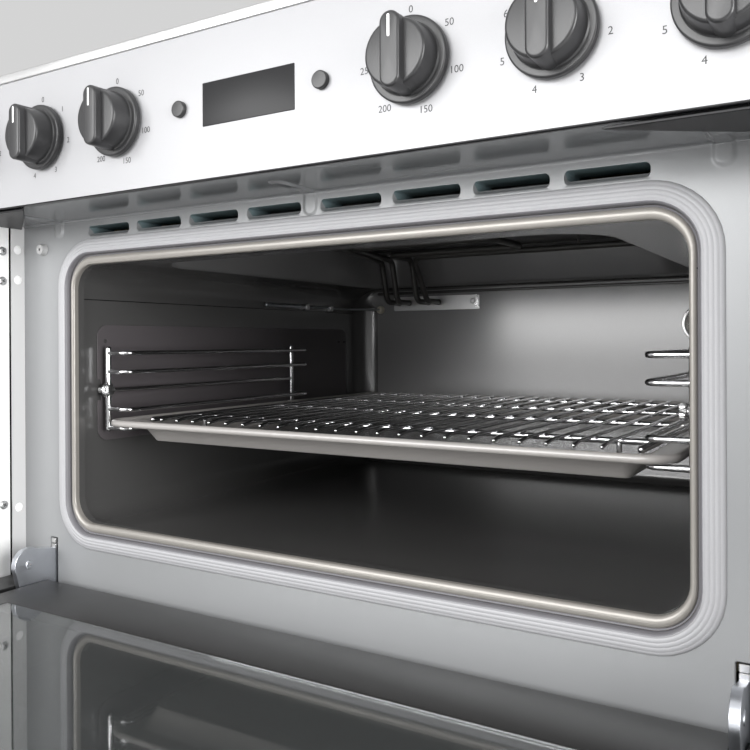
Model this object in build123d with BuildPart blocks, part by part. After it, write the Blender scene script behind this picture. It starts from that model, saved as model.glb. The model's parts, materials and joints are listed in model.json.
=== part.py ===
from build123d import *
import os

os.makedirs("parts", exist_ok=True)

# Driving sizes of the whole cooker, in millimetres.
# Heights are from the floor. Depths are from the front frame's face and grow towards the back.
cooker_width = 600.0
cooker_height = 900.0
body_depth = 550.0
panel_overhang = 62.0
fascia_plate = 3.0
fascia_bottom = 803.0
sheet = 1.2
thin_sheet = 1.0
seat_gap = 0.3
running_gap = 0.05

# Posts beside the doors
post_inner = 288.8
flange_depth = 12.0
post_depth = 40.0
side_bottom = 20.0
post_hole_radius = 3.75
post_hole_depth = -6.0
post_hole_heights = (783.4, 758.9, 573.5, 420.0, 150.0)
post_screw_depth = -19.5
post_screw_heights = (781.3, 757.3, 577.6, 424.0, 154.0)
screw_shank_radius = 1.6
screw_head_radius = 3.6
screw_head_height = 1.8

# Oven cavities, both of one width and depth
cavity_half_width = 232.0
cavity_depth = 434.0
cavity_corner = 22.0
rear_corner = 23.0
top_floor = 561.0
top_ceiling = 771.5
liner_seam = 742.0
main_floor = 145.0
main_ceiling = 450.0

# Front lips and seals round both oven mouths
lip_half_width = 228.5
lip_side_drop = 3.5
lip_floor_rise = 6.0
lip_outer_gap = 0.8
lip_depth = 10.0
lip_nose = 3.0
lip_round = 1.1
groove_corner = 24.7
groove_margin_floor = 0.2
groove_margin_top = 2.7
seal_inset = 1.4
seal_width = 12.1
seal_height = 5.5
seal_round = 2.4

# Doors, hung near their lower edges
door_half_width = 287.0
door_pivot_depth = -21.0
door_rear_reach = 15.0
door_front_reach = 25.0
door_glass = 4.0
door_below_pivot = 12.0
door_panel = 6.0
door_casing_wall = 1.2
top_door_pivot = 506.0
top_door_top = 795.0
main_door_pivot = 112.0
main_door_top = 474.0
window_margin_side = 62.0
window_margin_end = 40.0
window_ledge = 10.0
window_top_spare = 10.0
glass_edge_round = 3.2
handle_radius = 9.0
handle_half_length = 235.0
handle_reach = 42.0
handle_from_top = 26.0
handle_post_spacing = 400.0
handle_post_radius = 6.5

# Door hinges
hinge_x = 253.0
arm_thickness = 5.0
hinge_slot_width = 8.0
hinge_slot_above = 46.0
rivet_above_pivot = 30.0
rivet_depth = -24.0
arm_nose_radius = 13.0
arm_foot_radius = 9.0
hinge_slot_below = arm_foot_radius + seat_gap
arm_hook_depth = 9.0
pivot_pin_radius = 3.0
rivet_radius = 3.4
rivet_height = 0.8
hook_shoulder = 36.0
hook_rise = 2.0
latch_height = 28.0
latch_depth = 9.0
latch_overlap = 1.5
neck_depth = 6.0
neck_height = 11.0
pocket_gap = 1.2
channel_wall = 1.8
pocket_height = 47.0
pocket_back = 19.5
door_fit_gap = 0.3

main_door_length = main_door_top - main_door_pivot
door_reach_front = -door_pivot_depth + main_door_length
front_y = (door_reach_front - body_depth) / 2

half_width = cooker_width / 2
fascia_top = cooker_height - 7.0
skin_inner = half_width - sheet
fascia_rear = -panel_overhang + fascia_plate


def facing(depth):
    """Upright plane seen from the front: x across, y up, and it looks towards the user."""
    return Plane(origin=(0, front_y + depth, 0), x_dir=(1, 0, 0), z_dir=(0, -1, 0))


def sideways(x):
    """Upright plane across the cooker: x runs back from the front frame, y up."""
    return Plane(origin=(x, front_y, 0), x_dir=(0, 1, 0), z_dir=(1, 0, 0))


def level(height):
    """Level plane: x across, y back from the front frame."""
    return Plane(origin=(0, front_y, height))


def door_face(pivot_height, depth):
    """Plane of a door that lies open: x across, y from the pivot to the free edge."""
    return Plane(origin=(0, front_y + door_pivot_depth, pivot_height + depth), x_dir=(1, 0, 0),
                 z_dir=(0, 0, -1))


def wire_run(points, bend, radius):
    """Round wire or tube along straight runs with tangent bends, in frame coordinates."""
    with BuildPart() as run:
        with BuildLine(level(0)) as route:
            if len(points) > 2:
                FilletPolyline(*points, radius=bend)
            else:
                Line(*points)
        with BuildSketch(Plane(origin=route.line @ 0, z_dir=route.line % 0)):
            Circle(radius)
        sweep(path=route.line)
    return run.part


def rounded_block(half_x, low_z, high_z, corner, from_depth, to_depth):
    """Block with rounded long corners, between two depths."""
    with BuildPart() as block:
        with BuildSketch(facing(to_depth)):
            with Locations((0, (low_z + high_z) / 2)):
                RectangleRounded(2 * half_x, high_z - low_z, corner)
        extrude(amount=to_depth - from_depth)
    return block.part


def cavity_block(low_z, high_z, grow, from_depth):
    """Space of an oven cavity, grown all round, with rounded upright corners at the back."""
    with BuildPart() as plan:
        with BuildSketch(level(low_z - grow)):
            with Locations((0, cavity_depth / 2)):
                RectangleRounded(2 * (cavity_half_width + grow), cavity_depth + 2 * grow, rear_corner + grow)
            with Locations((0, 0)):
                Rectangle(2 * (cavity_half_width + grow), cavity_depth)
        extrude(amount=high_z - low_z + 2 * grow)
    with BuildPart() as space:
        add(rounded_block(cavity_half_width + grow, low_z - grow, high_z + grow, cavity_corner + grow,
                          from_depth, cavity_depth + grow))
        add(plan.part, mode=Mode.INTERSECT)
    return space.part


def cavity_shell(low_z, high_z):
    """Five-walled oven cavity in thin sheet, open at the front."""
    with BuildPart() as shell:
        add(cavity_block(low_z, high_z, thin_sheet, sheet))
        add(cavity_block(low_z, high_z, 0, 0), mode=Mode.SUBTRACT)
    return shell.part


def door_seal(low_z, high_z):
    """Sealing band with rounded shoulders round an oven mouth."""
    inner_x = cavity_half_width + seal_inset
    inner_low = low_z - groove_margin_floor - seal_inset
    inner_high = high_z + groove_margin_top + seal_inset
    with BuildPart() as seal:
        add(rounded_block(inner_x + seal_width, inner_low - seal_width, inner_high + seal_width,
                          groove_corner + seal_width, -seal_height, 0))
        add(rounded_block(inner_x, inner_low, inner_high, groove_corner, -seal_height, 0), mode=Mode.SUBTRACT)
        front_edges = seal.faces().sort_by(Axis.Y)[0].edges()
        fillet(front_edges, seal_round)
    return seal.part


def mouth_lip(low_z, high_z):
    """Rolled lip of an oven mouth, part of the front frame."""
    outer_x = cavity_half_width - lip_outer_gap
    with BuildPart() as lip:
        add(rounded_block(outer_x, low_z + lip_outer_gap, high_z - lip_outer_gap, cavity_corner,
                          -lip_nose, lip_depth))
        add(rounded_block(lip_half_width, low_z + lip_floor_rise, high_z - lip_side_drop,
                          cavity_corner - outer_x + lip_half_width, -lip_nose, lip_depth), mode=Mode.SUBTRACT)
        nose_edges = lip.faces().sort_by(Axis.Y)[0].edges()
        fillet(nose_edges, lip_round)
    return lip.part


# Front frame: one pressed sheet with both mouths, hinge slots, air vents and the underside of the overhang
vent_width = 45.0
vent_pitch = 52.7
vent_centre_gap = 15.0
vent_top = 797.5
vent_low = 788.9
vent_slot_low = 793.0
vent_corner = 3.0
vent_scoop = 3.5
frame_bottom = 88.0
bead_width = 10.0
bead_low = 789.4
outer_bead_low = 792.5
outer_bead_x = 245.0
bead_height = 1.0
under_bead_from = -40.0
under_bead_to = -8.0
buffer_x = 263.8
buffer_height = 782.4
main_buffer_height = 462.0
buffer_stem_radius = 2.0

vent_centres = []
for vent_number in range(4):
    vent_offset = vent_centre_gap / 2 + vent_width / 2 + vent_number * vent_pitch
    vent_centres += [-vent_offset, vent_offset]

slot_height = hinge_slot_above + hinge_slot_below
slot_shift = (hinge_slot_above - hinge_slot_below) / 2

with BuildPart() as front_frame:
    with BuildSketch(facing(sheet)):
        with Locations((0, (frame_bottom + fascia_bottom) / 2)):
            Rectangle(2 * post_inner, fascia_bottom - frame_bottom)
    extrude(amount=sheet)
    for mouth_low, mouth_high in ((top_floor, top_ceiling), (main_floor, main_ceiling)):
        mouth = rounded_block(cavity_half_width - lip_outer_gap, mouth_low + lip_outer_gap,
                              mouth_high - lip_outer_gap, cavity_corner, -lip_nose, lip_depth)
        add(mouth, mode=Mode.SUBTRACT)
        add(mouth_lip(mouth_low, mouth_high))
    for side in (-1, 1):
        with BuildSketch(level(frame_bottom)):
            with Locations((side * (post_inner + thin_sheet / 2), (sheet - flange_depth) / 2)):
                Rectangle(thin_sheet, flange_depth + sheet)
        extrude(amount=fascia_bottom - frame_bottom)
    with BuildSketch(level(fascia_bottom)):
        with Locations((0, (sheet + fascia_rear) / 2)):
            Rectangle(2 * (post_inner + thin_sheet), sheet - fascia_rear)
    extrude(amount=sheet)
    with BuildSketch(facing(sheet)):
        for vent_x in vent_centres:
            with Locations((vent_x, (vent_low + vent_top) / 2)):
                RectangleRounded(vent_width, vent_top - vent_low, vent_corner)
    extrude(amount=sheet, mode=Mode.SUBTRACT)
    for vent_x in vent_centres:
        with BuildSketch(sideways(vent_x - vent_width / 2 + vent_corner)):
            with BuildLine():
                Polyline((0, vent_low), (vent_scoop, vent_slot_low), (vent_scoop, vent_slot_low - sheet),
                         (sheet, vent_low - sheet), (0, vent_low - sheet), close=True)
            make_face()
        extrude(amount=vent_width - 2 * vent_corner)
    with BuildSketch(facing(sheet)):
        for pivot in (top_door_pivot, main_door_pivot):
            with Locations((-hinge_x, pivot + slot_shift), (hinge_x, pivot + slot_shift)):
                Rectangle(hinge_slot_width, slot_height)
    extrude(amount=sheet, mode=Mode.SUBTRACT)
    for bead_x, bead_end in ((0, bead_low), (-outer_bead_x, outer_bead_low), (outer_bead_x, outer_bead_low)):
        with BuildSketch(facing(0)):
            with Locations((bead_x, (bead_end + fascia_bottom) / 2 + bead_width / 4)):
                Rectangle(bead_width, fascia_bottom - bead_end - bead_width / 2)
            with Locations((bead_x, bead_end + bead_width / 2)):
                Circle(bead_width / 2)
        extrude(amount=bead_height)
        with BuildSketch(level(fascia_bottom - bead_height)):
            with Locations((bead_x, (under_bead_from + under_bead_to) / 2)):
                SlotOverall(under_bead_to - under_bead_from, bead_width, rotation=90)
        extrude(amount=bead_height)
    with BuildSketch(facing(sheet)):
        for height in (buffer_height, main_buffer_height):
            with Locations((-buffer_x, height), (buffer_x, height)):
                Circle(buffer_stem_radius + seat_gap)
    extrude(amount=sheet, mode=Mode.SUBTRACT)
    for side in (-1, 1):
        with BuildSketch(sideways(side * post_inner)):
            for height in post_hole_heights:
                with Locations((post_hole_depth, height)):
                    Circle(post_hole_radius)
        extrude(amount=side * thin_sheet, mode=Mode.SUBTRACT)
front_frame.part.label = "front_frame"
export_step(front_frame.part, "parts/front_frame.step")

# Side panels: skin, hollow front post and rear flange in one folded sheet
post_face = post_inner + thin_sheet
rear_flange = 16.0
side_top = fascia_bottom - seat_gap
for side, side_name in ((-1, "left"), (1, "right")):
    with BuildPart() as side_panel:
        with BuildSketch(level(side_bottom)):
            with Locations((side * (half_width - sheet / 2), (body_depth - sheet - post_depth) / 2)):
                Rectangle(sheet, body_depth - sheet + post_depth)
            with Locations((side * (half_width + post_face) / 2, -post_depth + sheet / 2)):
                Rectangle(half_width - post_face, sheet)
            with Locations((side * (post_face + sheet / 2), -post_depth / 2)):
                Rectangle(sheet, post_depth)
            with Locations((side * (half_width - rear_flange / 2), body_depth - 1.5 * sheet)):
                Rectangle(rear_flange, sheet)
        extrude(amount=side_top - side_bottom)
        with BuildSketch(sideways(side * post_face)):
            for height in post_hole_heights:
                with Locations((post_hole_depth, height)):
                    Circle(post_hole_radius)
            for height in post_screw_heights:
                with Locations((post_screw_depth, height)):
                    Circle(screw_shank_radius + running_gap)
        extrude(amount=side * sheet, mode=Mode.SUBTRACT)
        with BuildSketch(level(side_top)):
            with Locations((side * (half_width - sheet / 2), (body_depth - sheet) / 2)):
                Rectangle(sheet, body_depth - sheet)
        extrude(amount=fascia_top - side_top - seat_gap)
    side_panel.part.label = f"side_panel_{side_name}"
    export_step(side_panel.part, f"parts/side_panel_{side_name}.step")

# Rear panel with rows of cooling slots and the hole for the mains cable gland
rear_bottom = 52.0
rear_top = fascia_top - seat_gap
rear_slot_length = 60.0
rear_slot_width = 5.0
rear_slot_gap = 20.0
rear_slot_pitch = 14.0
rear_slot_count = 5
rear_slot_heights = (760.0, 420.0)
inlet_x = -190.0
inlet_height = 200.0
gland_radius = 13.0
with BuildPart() as rear_panel:
    with BuildSketch(facing(body_depth)):
        with Locations((0, (rear_bottom + rear_top) / 2)):
            Rectangle(2 * skin_inner, rear_top - rear_bottom)
        for slot_height_z in rear_slot_heights:
            with Locations((0, slot_height_z)):
                with GridLocations(rear_slot_length + rear_slot_gap, rear_slot_pitch, rear_slot_count,
                                   rear_slot_count):
                    SlotOverall(rear_slot_length, rear_slot_width, mode=Mode.SUBTRACT)
        with Locations((inlet_x, inlet_height)):
            Circle(gland_radius + running_gap, mode=Mode.SUBTRACT)
    extrude(amount=sheet)
rear_panel.part.label = "rear_panel"
export_step(rear_panel.part, "parts/rear_panel.step")

# Base pan, plinth and levelling feet
base_height = 50.0
base_wall = 22.0
base_front = 22.0
base_wall_short = 60.0
foot_x = 250.0
foot_depths = (62.0, 500.0)
stud_radius = 5.0
with BuildPart() as base_pan:
    with BuildSketch(level(base_height)):
        with Locations((0, (base_front + body_depth - 2 * sheet) / 2)):
            Rectangle(2 * (skin_inner - rear_flange), body_depth - 2 * sheet - base_front - 2 * seat_gap)
        with Locations((0, (base_front + body_depth) / 2)):
            Rectangle(2 * (skin_inner - seat_gap), body_depth - base_front - base_wall_short)
    extrude(amount=sheet)
    for side in (-1, 1):
        with BuildSketch(level(base_height)):
            with Locations((side * (skin_inner - seat_gap - sheet / 2), (base_front + body_depth) / 2)):
                Rectangle(sheet, body_depth - base_front - base_wall_short)
        extrude(amount=base_wall)
    with BuildSketch(level(base_height)):
        for foot_depth in foot_depths:
            with Locations((-foot_x, foot_depth), (foot_x, foot_depth)):
                Circle(stud_radius + seat_gap)
    extrude(amount=sheet, mode=Mode.SUBTRACT)
base_pan.part.label = "base_pan"
export_step(base_pan.part, "parts/base_pan.step")

foot_pad_radius = 22.0
foot_pad_height = 11.0
foot_pad_edge = 2.0
foot_pad_fall = 4.0
foot_collar = 3.0
foot_nut_radius = 10.0
foot_nut_height = 8.0
foot_stud_top = 66.0
with BuildPart() as levelling_feet:
    for foot_depth in foot_depths:
        pad_edge = foot_depth + foot_pad_radius
        stud_edge = foot_depth + stud_radius
        for foot_side in (-foot_x, foot_x):
            with BuildSketch(sideways(foot_side)):
                with BuildLine():
                    Polyline((foot_depth, 0), (pad_edge - foot_pad_edge, 0), (pad_edge, foot_pad_edge),
                             (pad_edge, foot_pad_height - foot_pad_fall),
                             (stud_edge + foot_collar, foot_pad_height), (stud_edge, foot_pad_height),
                             (stud_edge, foot_stud_top), (foot_depth, foot_stud_top), close=True)
                make_face()
            revolve(axis=Axis((foot_side, front_y + foot_depth, 0), (0, 0, 1)))
            with BuildSketch(level(base_height - foot_nut_height)):
                with Locations((foot_side, foot_depth)):
                    RegularPolygon(foot_nut_radius, 6)
            extrude(amount=foot_nut_height)
levelling_feet.part.label = "levelling_feet"
export_step(levelling_feet.part, "parts/levelling_feet.step")

plinth_top = 82.0
plinth_front = -18.0
plinth_half_width = post_face - seat_gap
plinth_return = 39.0
with BuildPart() as plinth:
    with BuildSketch(level(side_bottom)):
        with Locations((0, plinth_front + plinth_return / 2)):
            Rectangle(2 * plinth_half_width, plinth_return)
        with Locations((0, plinth_front + sheet + plinth_return / 2)):
            Rectangle(2 * (plinth_half_width - sheet), plinth_return, mode=Mode.SUBTRACT)
    extrude(amount=plinth_top - side_bottom)
    with BuildSketch(level(plinth_top - sheet)):
        with Locations((0, plinth_front + plinth_return / 2)):
            Rectangle(2 * plinth_half_width, plinth_return)
    extrude(amount=sheet)
plinth.part.label = "plinth"
export_step(plinth.part, "parts/plinth.step")

# Top oven: lower liner, pressed ceiling with the grill recess, seal
recess_left = -205.0
recess_right = 167.0
recess_front = 55.0
recess_rear = 420.0
recess_corner = 42.0
recess_rise = 40.5
recess_slope = 18.0
bead_rib_depth = 410.0
bead_rib_radius = 2.0
bead_rib_low = 600.0
leg_positions = (-178.5, -165.0, -139.0, -126.0)
leg_height = 754.0
tube_radius = 3.25
leg_hole_radius = tube_radius + seat_gap
lamp_x = 165.0
lamp_height = 724.0
lamp_body_radius = 15.0
lamp_lens_radius = 19.0
lamp_lens_depth = 7.0
probe_height = 746.6
probe_gland_x = -205.0
main_lamp_height = 405.0
thumb_depth = 28.5
thumb_height = 669.0
main_thumb_height = 310.0
thumb_shank_radius = 3.0

with BuildPart() as top_oven_liner:
    add(cavity_shell(top_floor, top_ceiling))
    split(bisect_by=Plane.XY.offset(liner_seam), keep=Keep.BOTTOM)
    for side in (-1, 1):
        with BuildSketch(level(bead_rib_low)):
            with Locations((side * (cavity_half_width + thin_sheet - bead_rib_radius), bead_rib_depth)):
                Circle(bead_rib_radius)
        extrude(amount=liner_seam - bead_rib_low)
        with BuildSketch(sideways(side * cavity_half_width)):
            with Locations((thumb_depth, thumb_height)):
                Circle(thumb_shank_radius + seat_gap)
        extrude(amount=side * thin_sheet, mode=Mode.SUBTRACT)
    with BuildSketch(facing(cavity_depth + thin_sheet)):
        with Locations((lamp_x, lamp_height)):
            Circle(lamp_body_radius + seat_gap)
    extrude(amount=thin_sheet, mode=Mode.SUBTRACT)
top_oven_liner.part.label = "top_oven_liner"
export_step(top_oven_liner.part, "parts/top_oven_liner.step")


def grill_recess(grow):
    """Tapered space above the oven ceiling that holds the grill element."""
    with BuildPart() as recess:
        with BuildSketch(level(top_ceiling)):
            with Locations(((recess_left + recess_right) / 2, (recess_front + recess_rear) / 2)):
                RectangleRounded(recess_right - recess_left + 2 * grow, recess_rear - recess_front + 2 * grow,
                                 recess_corner + grow)
        extrude(amount=recess_rise + grow, taper=recess_slope)
    return recess.part


with BuildPart() as top_oven_ceiling:
    add(cavity_shell(top_floor, top_ceiling))
    split(bisect_by=Plane.XY.offset(liner_seam + seat_gap), keep=Keep.TOP)
    add(grill_recess(thin_sheet))
    add(grill_recess(0), mode=Mode.SUBTRACT)
    with BuildSketch(facing(cavity_depth + thin_sheet)):
        for leg_x in leg_positions:
            with Locations((leg_x, leg_height)):
                Circle(leg_hole_radius)
        with Locations((probe_gland_x, probe_height)):
            Circle(tube_radius)
    extrude(amount=thin_sheet, mode=Mode.SUBTRACT)
top_oven_ceiling.part.label = "top_oven_ceiling"
export_step(top_oven_ceiling.part, "parts/top_oven_ceiling.step")

for seal_name, seal_low, seal_high in (("top", top_floor, top_ceiling), ("main", main_floor, main_ceiling)):
    with BuildPart() as oven_seal:
        add(door_seal(seal_low, seal_high))
    oven_seal.part.label = f"{seal_name}_oven_seal"
    export_step(oven_seal.part, f"parts/{seal_name}_oven_seal.step")

# Grill element: an outer loop and an inner hairpin that leave through the rear wall
element_height = 801.0
element_bend = 11.0
outer_left = -150.0
outer_front = 92.0
outer_right = 136.0
outer_rear = 371.0
hairpin_left = -136.0
hairpin_front = 262.0
hairpin_rear = 340.0
hairpin_right = 13.0
leg_turn = 404.0
leg_rise = 391.0
leg_end = 466.0
first_leg, second_leg, third_leg, fourth_leg = leg_positions
outer_route = [(first_leg, leg_end, leg_height), (first_leg, leg_turn, leg_height),
               (first_leg, leg_rise, element_height), (outer_left, hairpin_front, element_height),
               (outer_left, outer_front, element_height), (outer_right, outer_front, element_height),
               (outer_right, outer_rear, element_height), (fourth_leg, outer_rear, element_height),
               (fourth_leg, leg_turn, leg_height), (fourth_leg, leg_end, leg_height)]
inner_route = [(second_leg, leg_end, leg_height), (second_leg, leg_turn, leg_height),
               (second_leg, leg_rise, element_height), (hairpin_left, hairpin_front, element_height),
               (hairpin_right, hairpin_front, element_height), (hairpin_right, hairpin_rear, element_height),
               (third_leg, hairpin_rear, element_height), (third_leg, leg_rise, element_height),
               (third_leg, leg_turn, leg_height), (third_leg, leg_end, leg_height)]
hanger_width = 8.0
hanger_spots = ((outer_left, 180.0), (outer_right, 230.0), (-60.0, outer_front), (60.0, outer_rear))
recess_top = top_ceiling + recess_rise
with BuildPart() as grill_element:
    add(wire_run(outer_route, element_bend, tube_radius))
    add(wire_run(inner_route, element_bend, tube_radius))
    with BuildSketch(level(element_height)):
        for hanger_x, hanger_depth in hanger_spots:
            with Locations((hanger_x, hanger_depth)):
                Rectangle(hanger_width, hanger_width / 3)
    extrude(amount=recess_top - element_height - seat_gap)
grill_element.part.label = "grill_element"
export_step(grill_element.part, "parts/grill_element.step")

bracket_left = -186.0
bracket_right = -73.5
bracket_low = 744.6
bracket_high = 761.3
bracket_corner = 2.0
bracket_rivet_x = -82.0
bracket_rivet_radius = 3.0
bracket_rivet_height = 1.2
bracket_rivet_slope = 25.0
bracket_face = cavity_depth - sheet - seat_gap
with BuildPart() as grill_bracket:
    with BuildSketch(facing(cavity_depth - seat_gap)):
        with Locations(((bracket_left + bracket_right) / 2, (bracket_low + bracket_high) / 2)):
            RectangleRounded(bracket_right - bracket_left, bracket_high - bracket_low, bracket_corner)
        for leg_x in leg_positions:
            with Locations((leg_x, leg_height)):
                Circle(leg_hole_radius, mode=Mode.SUBTRACT)
    extrude(amount=sheet)
    with BuildSketch(facing(bracket_face)):
        with Locations((bracket_rivet_x, leg_height)):
            Circle(bracket_rivet_radius)
    extrude(amount=bracket_rivet_height, taper=bracket_rivet_slope)
grill_bracket.part.label = "grill_bracket"
export_step(grill_bracket.part, "parts/grill_bracket.step")

# Lower heating element, under the top oven's floor
base_tube_height = top_floor - thin_sheet - tube_radius - seat_gap
base_loop_x = 150.0
base_loop_front = 80.0
base_loop_rear = 380.0
base_leg_x = 40.0
base_plan = [(-base_leg_x, leg_end), (-base_leg_x, base_loop_rear), (-base_loop_x, base_loop_rear),
             (-base_loop_x, base_loop_front), (base_loop_x, base_loop_front), (base_loop_x, base_loop_rear),
             (base_leg_x, base_loop_rear), (base_leg_x, leg_end)]
base_route = [(across, depth, base_tube_height) for across, depth in base_plan]
with BuildPart() as base_element:
    add(wire_run(base_route, 2 * element_bend, tube_radius))
base_element.part.label = "base_element"
export_step(base_element.part, "parts/base_element.step")

# Flat liners on the top oven's side walls
liner_front = 25.0
liner_rear = 394.0
liner_low = 627.5
liner_high = 722.0
liner_round = 10.0
liner_screw_gap = 1.5
liner_notch_depth = 7.0
liner_notch_height = 17.0
liner_slot_depths = (379.0, 390.0)
liner_slot_height = 707.5
liner_slot_length = 6.0
liner_slot_width = 2.4
liner_hole_depth = 33.0
liner_hole_height = 708.8
liner_hole_radius = 1.6
liner_face = cavity_half_width - seat_gap - thin_sheet
with BuildPart() as side_liners:
    for side in (-1, 1):
        with BuildSketch(sideways(side * liner_face)):
            with Locations(((liner_front + liner_rear) / 2, (liner_low + liner_high) / 2)):
                RectangleRounded(liner_rear - liner_front, liner_high - liner_low, liner_round)
            with Locations((thumb_depth, thumb_height)):
                Circle(thumb_shank_radius + liner_screw_gap, mode=Mode.SUBTRACT)
            with Locations((liner_front, thumb_height)):
                Rectangle(liner_notch_depth, liner_notch_height, mode=Mode.SUBTRACT)
            for slot_depth in liner_slot_depths:
                with Locations((slot_depth, liner_slot_height)):
                    SlotOverall(liner_slot_length, liner_slot_width, mode=Mode.SUBTRACT)
            with Locations((liner_hole_depth, liner_hole_height)):
                Circle(liner_hole_radius, mode=Mode.SUBTRACT)
        extrude(amount=side * thin_sheet)
side_liners.part.label = "side_liners"
export_step(side_liners.part, "parts/side_liners.step")

# Side racks: welded wire, each with an eyelet for the thumb screw
rack_x = 222.5
rack_front = 29.0
upright_radius = 2.3
runner_radius = 1.9
runner_bend = 7.0
eyelet_radius = 6.5
eyelet_half_thickness = 1.8
top_rack_rear = 274.0
top_runner_x = 201.0
top_runner_pitch = 15.1
top_runner_high = 699.0
top_rack_high = 702.3
top_rack_low = 634.0
main_rack_rear = 372.0
main_runner_x = 205.0
main_runner_pitch = 50.0
main_runner_low = 185.0
main_rack_high = 408.0
main_rack_low = 170.0


def side_rack(side, rear, low, high, runner_x, runner_heights, eyelet_height):
    """One rack: two uprights, hairpin runners, an eyelet in front and a stay to the wall behind."""
    x = side * rack_x
    with BuildPart() as rack:
        for upright_depth in (rack_front, rear):
            with BuildSketch(level(low)):
                with Locations((x, upright_depth)):
                    Circle(upright_radius)
            extrude(amount=high - low)
        for height in runner_heights:
            add(wire_run([(x, rack_front, height), (side * runner_x, rack_front, height),
                          (side * runner_x, rear, height), (x, rear, height)], runner_bend, runner_radius))
        add(wire_run([(x, rack_front, eyelet_height), (x, rear, eyelet_height)], runner_bend, runner_radius))
        with BuildSketch(sideways(x - eyelet_half_thickness)):
            with Locations((thumb_depth, eyelet_height)):
                Circle(eyelet_radius)
        extrude(amount=2 * eyelet_half_thickness)
        with BuildSketch(sideways(x - 2 * upright_radius)):
            with Locations((thumb_depth, eyelet_height)):
                Circle(thumb_shank_radius + seat_gap)
        extrude(amount=4 * upright_radius, mode=Mode.SUBTRACT)
        add(wire_run([(x, rear, eyelet_height), (side * (liner_face - seat_gap), rear, eyelet_height)],
                     runner_bend, runner_radius))
    return rack.part


top_runner_heights = []
for runner_number in (0, 1, 3, 4):
    top_runner_heights.append(top_runner_high - runner_number * top_runner_pitch)
main_runner_heights = []
for runner_number in range(5):
    main_runner_heights.append(main_runner_low + runner_number * main_runner_pitch)

for side, side_name in ((-1, "left"), (1, "right")):
    with BuildPart() as top_rack:
        add(side_rack(side, top_rack_rear, top_rack_low, top_rack_high, top_runner_x, top_runner_heights,
                      thumb_height))
    top_rack.part.label = f"top_rack_{side_name}"
    export_step(top_rack.part, f"parts/top_rack_{side_name}.step")
    with BuildPart() as main_rack:
        add(side_rack(side, main_rack_rear, main_rack_low, main_rack_high, main_runner_x, main_runner_heights,
                      main_thumb_height))
    main_rack.part.label = f"main_rack_{side_name}"
    export_step(main_rack.part, f"parts/main_rack_{side_name}.step")

# Thumb screws that hold the racks to the side walls
thumb_tip = 218.5
thumb_head_radius = 4.6
thumb_head_length = 1.6
thumb_head_sides = 12
thumb_nut_radius = 5.5
thumb_nut_height = 3.0
thumb_shank_end = cavity_half_width + 6
with BuildPart() as rack_thumb_screws:
    for side in (-1, 1):
        for height in (thumb_height, main_thumb_height):
            with BuildSketch(sideways(side * thumb_tip)):
                with Locations((thumb_depth, height)):
                    Circle(thumb_shank_radius)
            extrude(amount=side * (thumb_shank_end - thumb_tip))
            with BuildSketch(sideways(side * thumb_tip)):
                with Locations((thumb_depth, height)):
                    RegularPolygon(thumb_head_radius, thumb_head_sides)
            extrude(amount=side * thumb_head_length)
            with BuildSketch(sideways(side * (cavity_half_width + thin_sheet))):
                with Locations((thumb_depth, height)):
                    RegularPolygon(thumb_nut_radius, 6)
            extrude(amount=side * thumb_nut_height)
rack_thumb_screws.part.label = "rack_thumb_screws"
export_step(rack_thumb_screws.part, "parts/rack_thumb_screws.step")

# Thermostat probe: capillary along the left wall, its two clips and its gland
capillary_radius = 1.1
probe_bulb_radius = 2.2
probe_x = -cavity_half_width + seat_gap + probe_bulb_radius
probe_front = 242.0
probe_bulb_end = 300.0
probe_turn = 405.0
clip_depths = (309.0, 356.0)
clip_half_height = 3.5
clip_reach = 5.0
clip_round = 1.2
clip_length = 6.0
gland_length = 5.0
gland_share = 1.6
gland_slope = 12.0
probe_bend_reach = 12.0
probe_tail = 20.0
with BuildPart() as thermostat_probe:
    add(wire_run([(probe_gland_x, cavity_depth + probe_tail, probe_height),
                  (probe_gland_x, probe_turn + probe_bend_reach, probe_height),
                  (probe_x, probe_turn - probe_bend_reach, probe_height),
                  (probe_x, probe_front, probe_height)],
                 element_bend, capillary_radius))
    with BuildSketch(facing(probe_bulb_end)):
        with Locations((probe_x, probe_height)):
            Circle(probe_bulb_radius)
    extrude(amount=probe_bulb_end - probe_front)
    with BuildSketch(facing(cavity_depth)):
        with Locations((probe_gland_x, probe_height)):
            Circle(gland_share * tube_radius)
    extrude(amount=gland_length, taper=gland_slope)
    for clip_depth in clip_depths:
        with BuildSketch(facing(clip_depth)):
            with Locations((-cavity_half_width + seat_gap + clip_reach / 2, probe_height)):
                RectangleRounded(clip_reach, 2 * clip_half_height, clip_round)
        extrude(amount=clip_length)
thermostat_probe.part.label = "thermostat_probe"
export_step(thermostat_probe.part, "parts/thermostat_probe.step")

# Oven lamps: glass cap inside the cavity, lampholder body through the rear wall
lamp_body_end = 478.0
lamp_lens_slope = 24.0
with BuildPart() as oven_lamps:
    for height in (lamp_height, main_lamp_height):
        with BuildSketch(facing(lamp_body_end)):
            with Locations((lamp_x, height)):
                Circle(lamp_body_radius)
        extrude(amount=lamp_body_end - cavity_depth)
        with BuildSketch(facing(cavity_depth)):
            with Locations((lamp_x, height)):
                Circle(lamp_lens_radius)
        extrude(amount=lamp_lens_depth, taper=lamp_lens_slope)
oven_lamps.part.label = "oven_lamps"
export_step(oven_lamps.part, "parts/oven_lamps.step")

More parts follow.
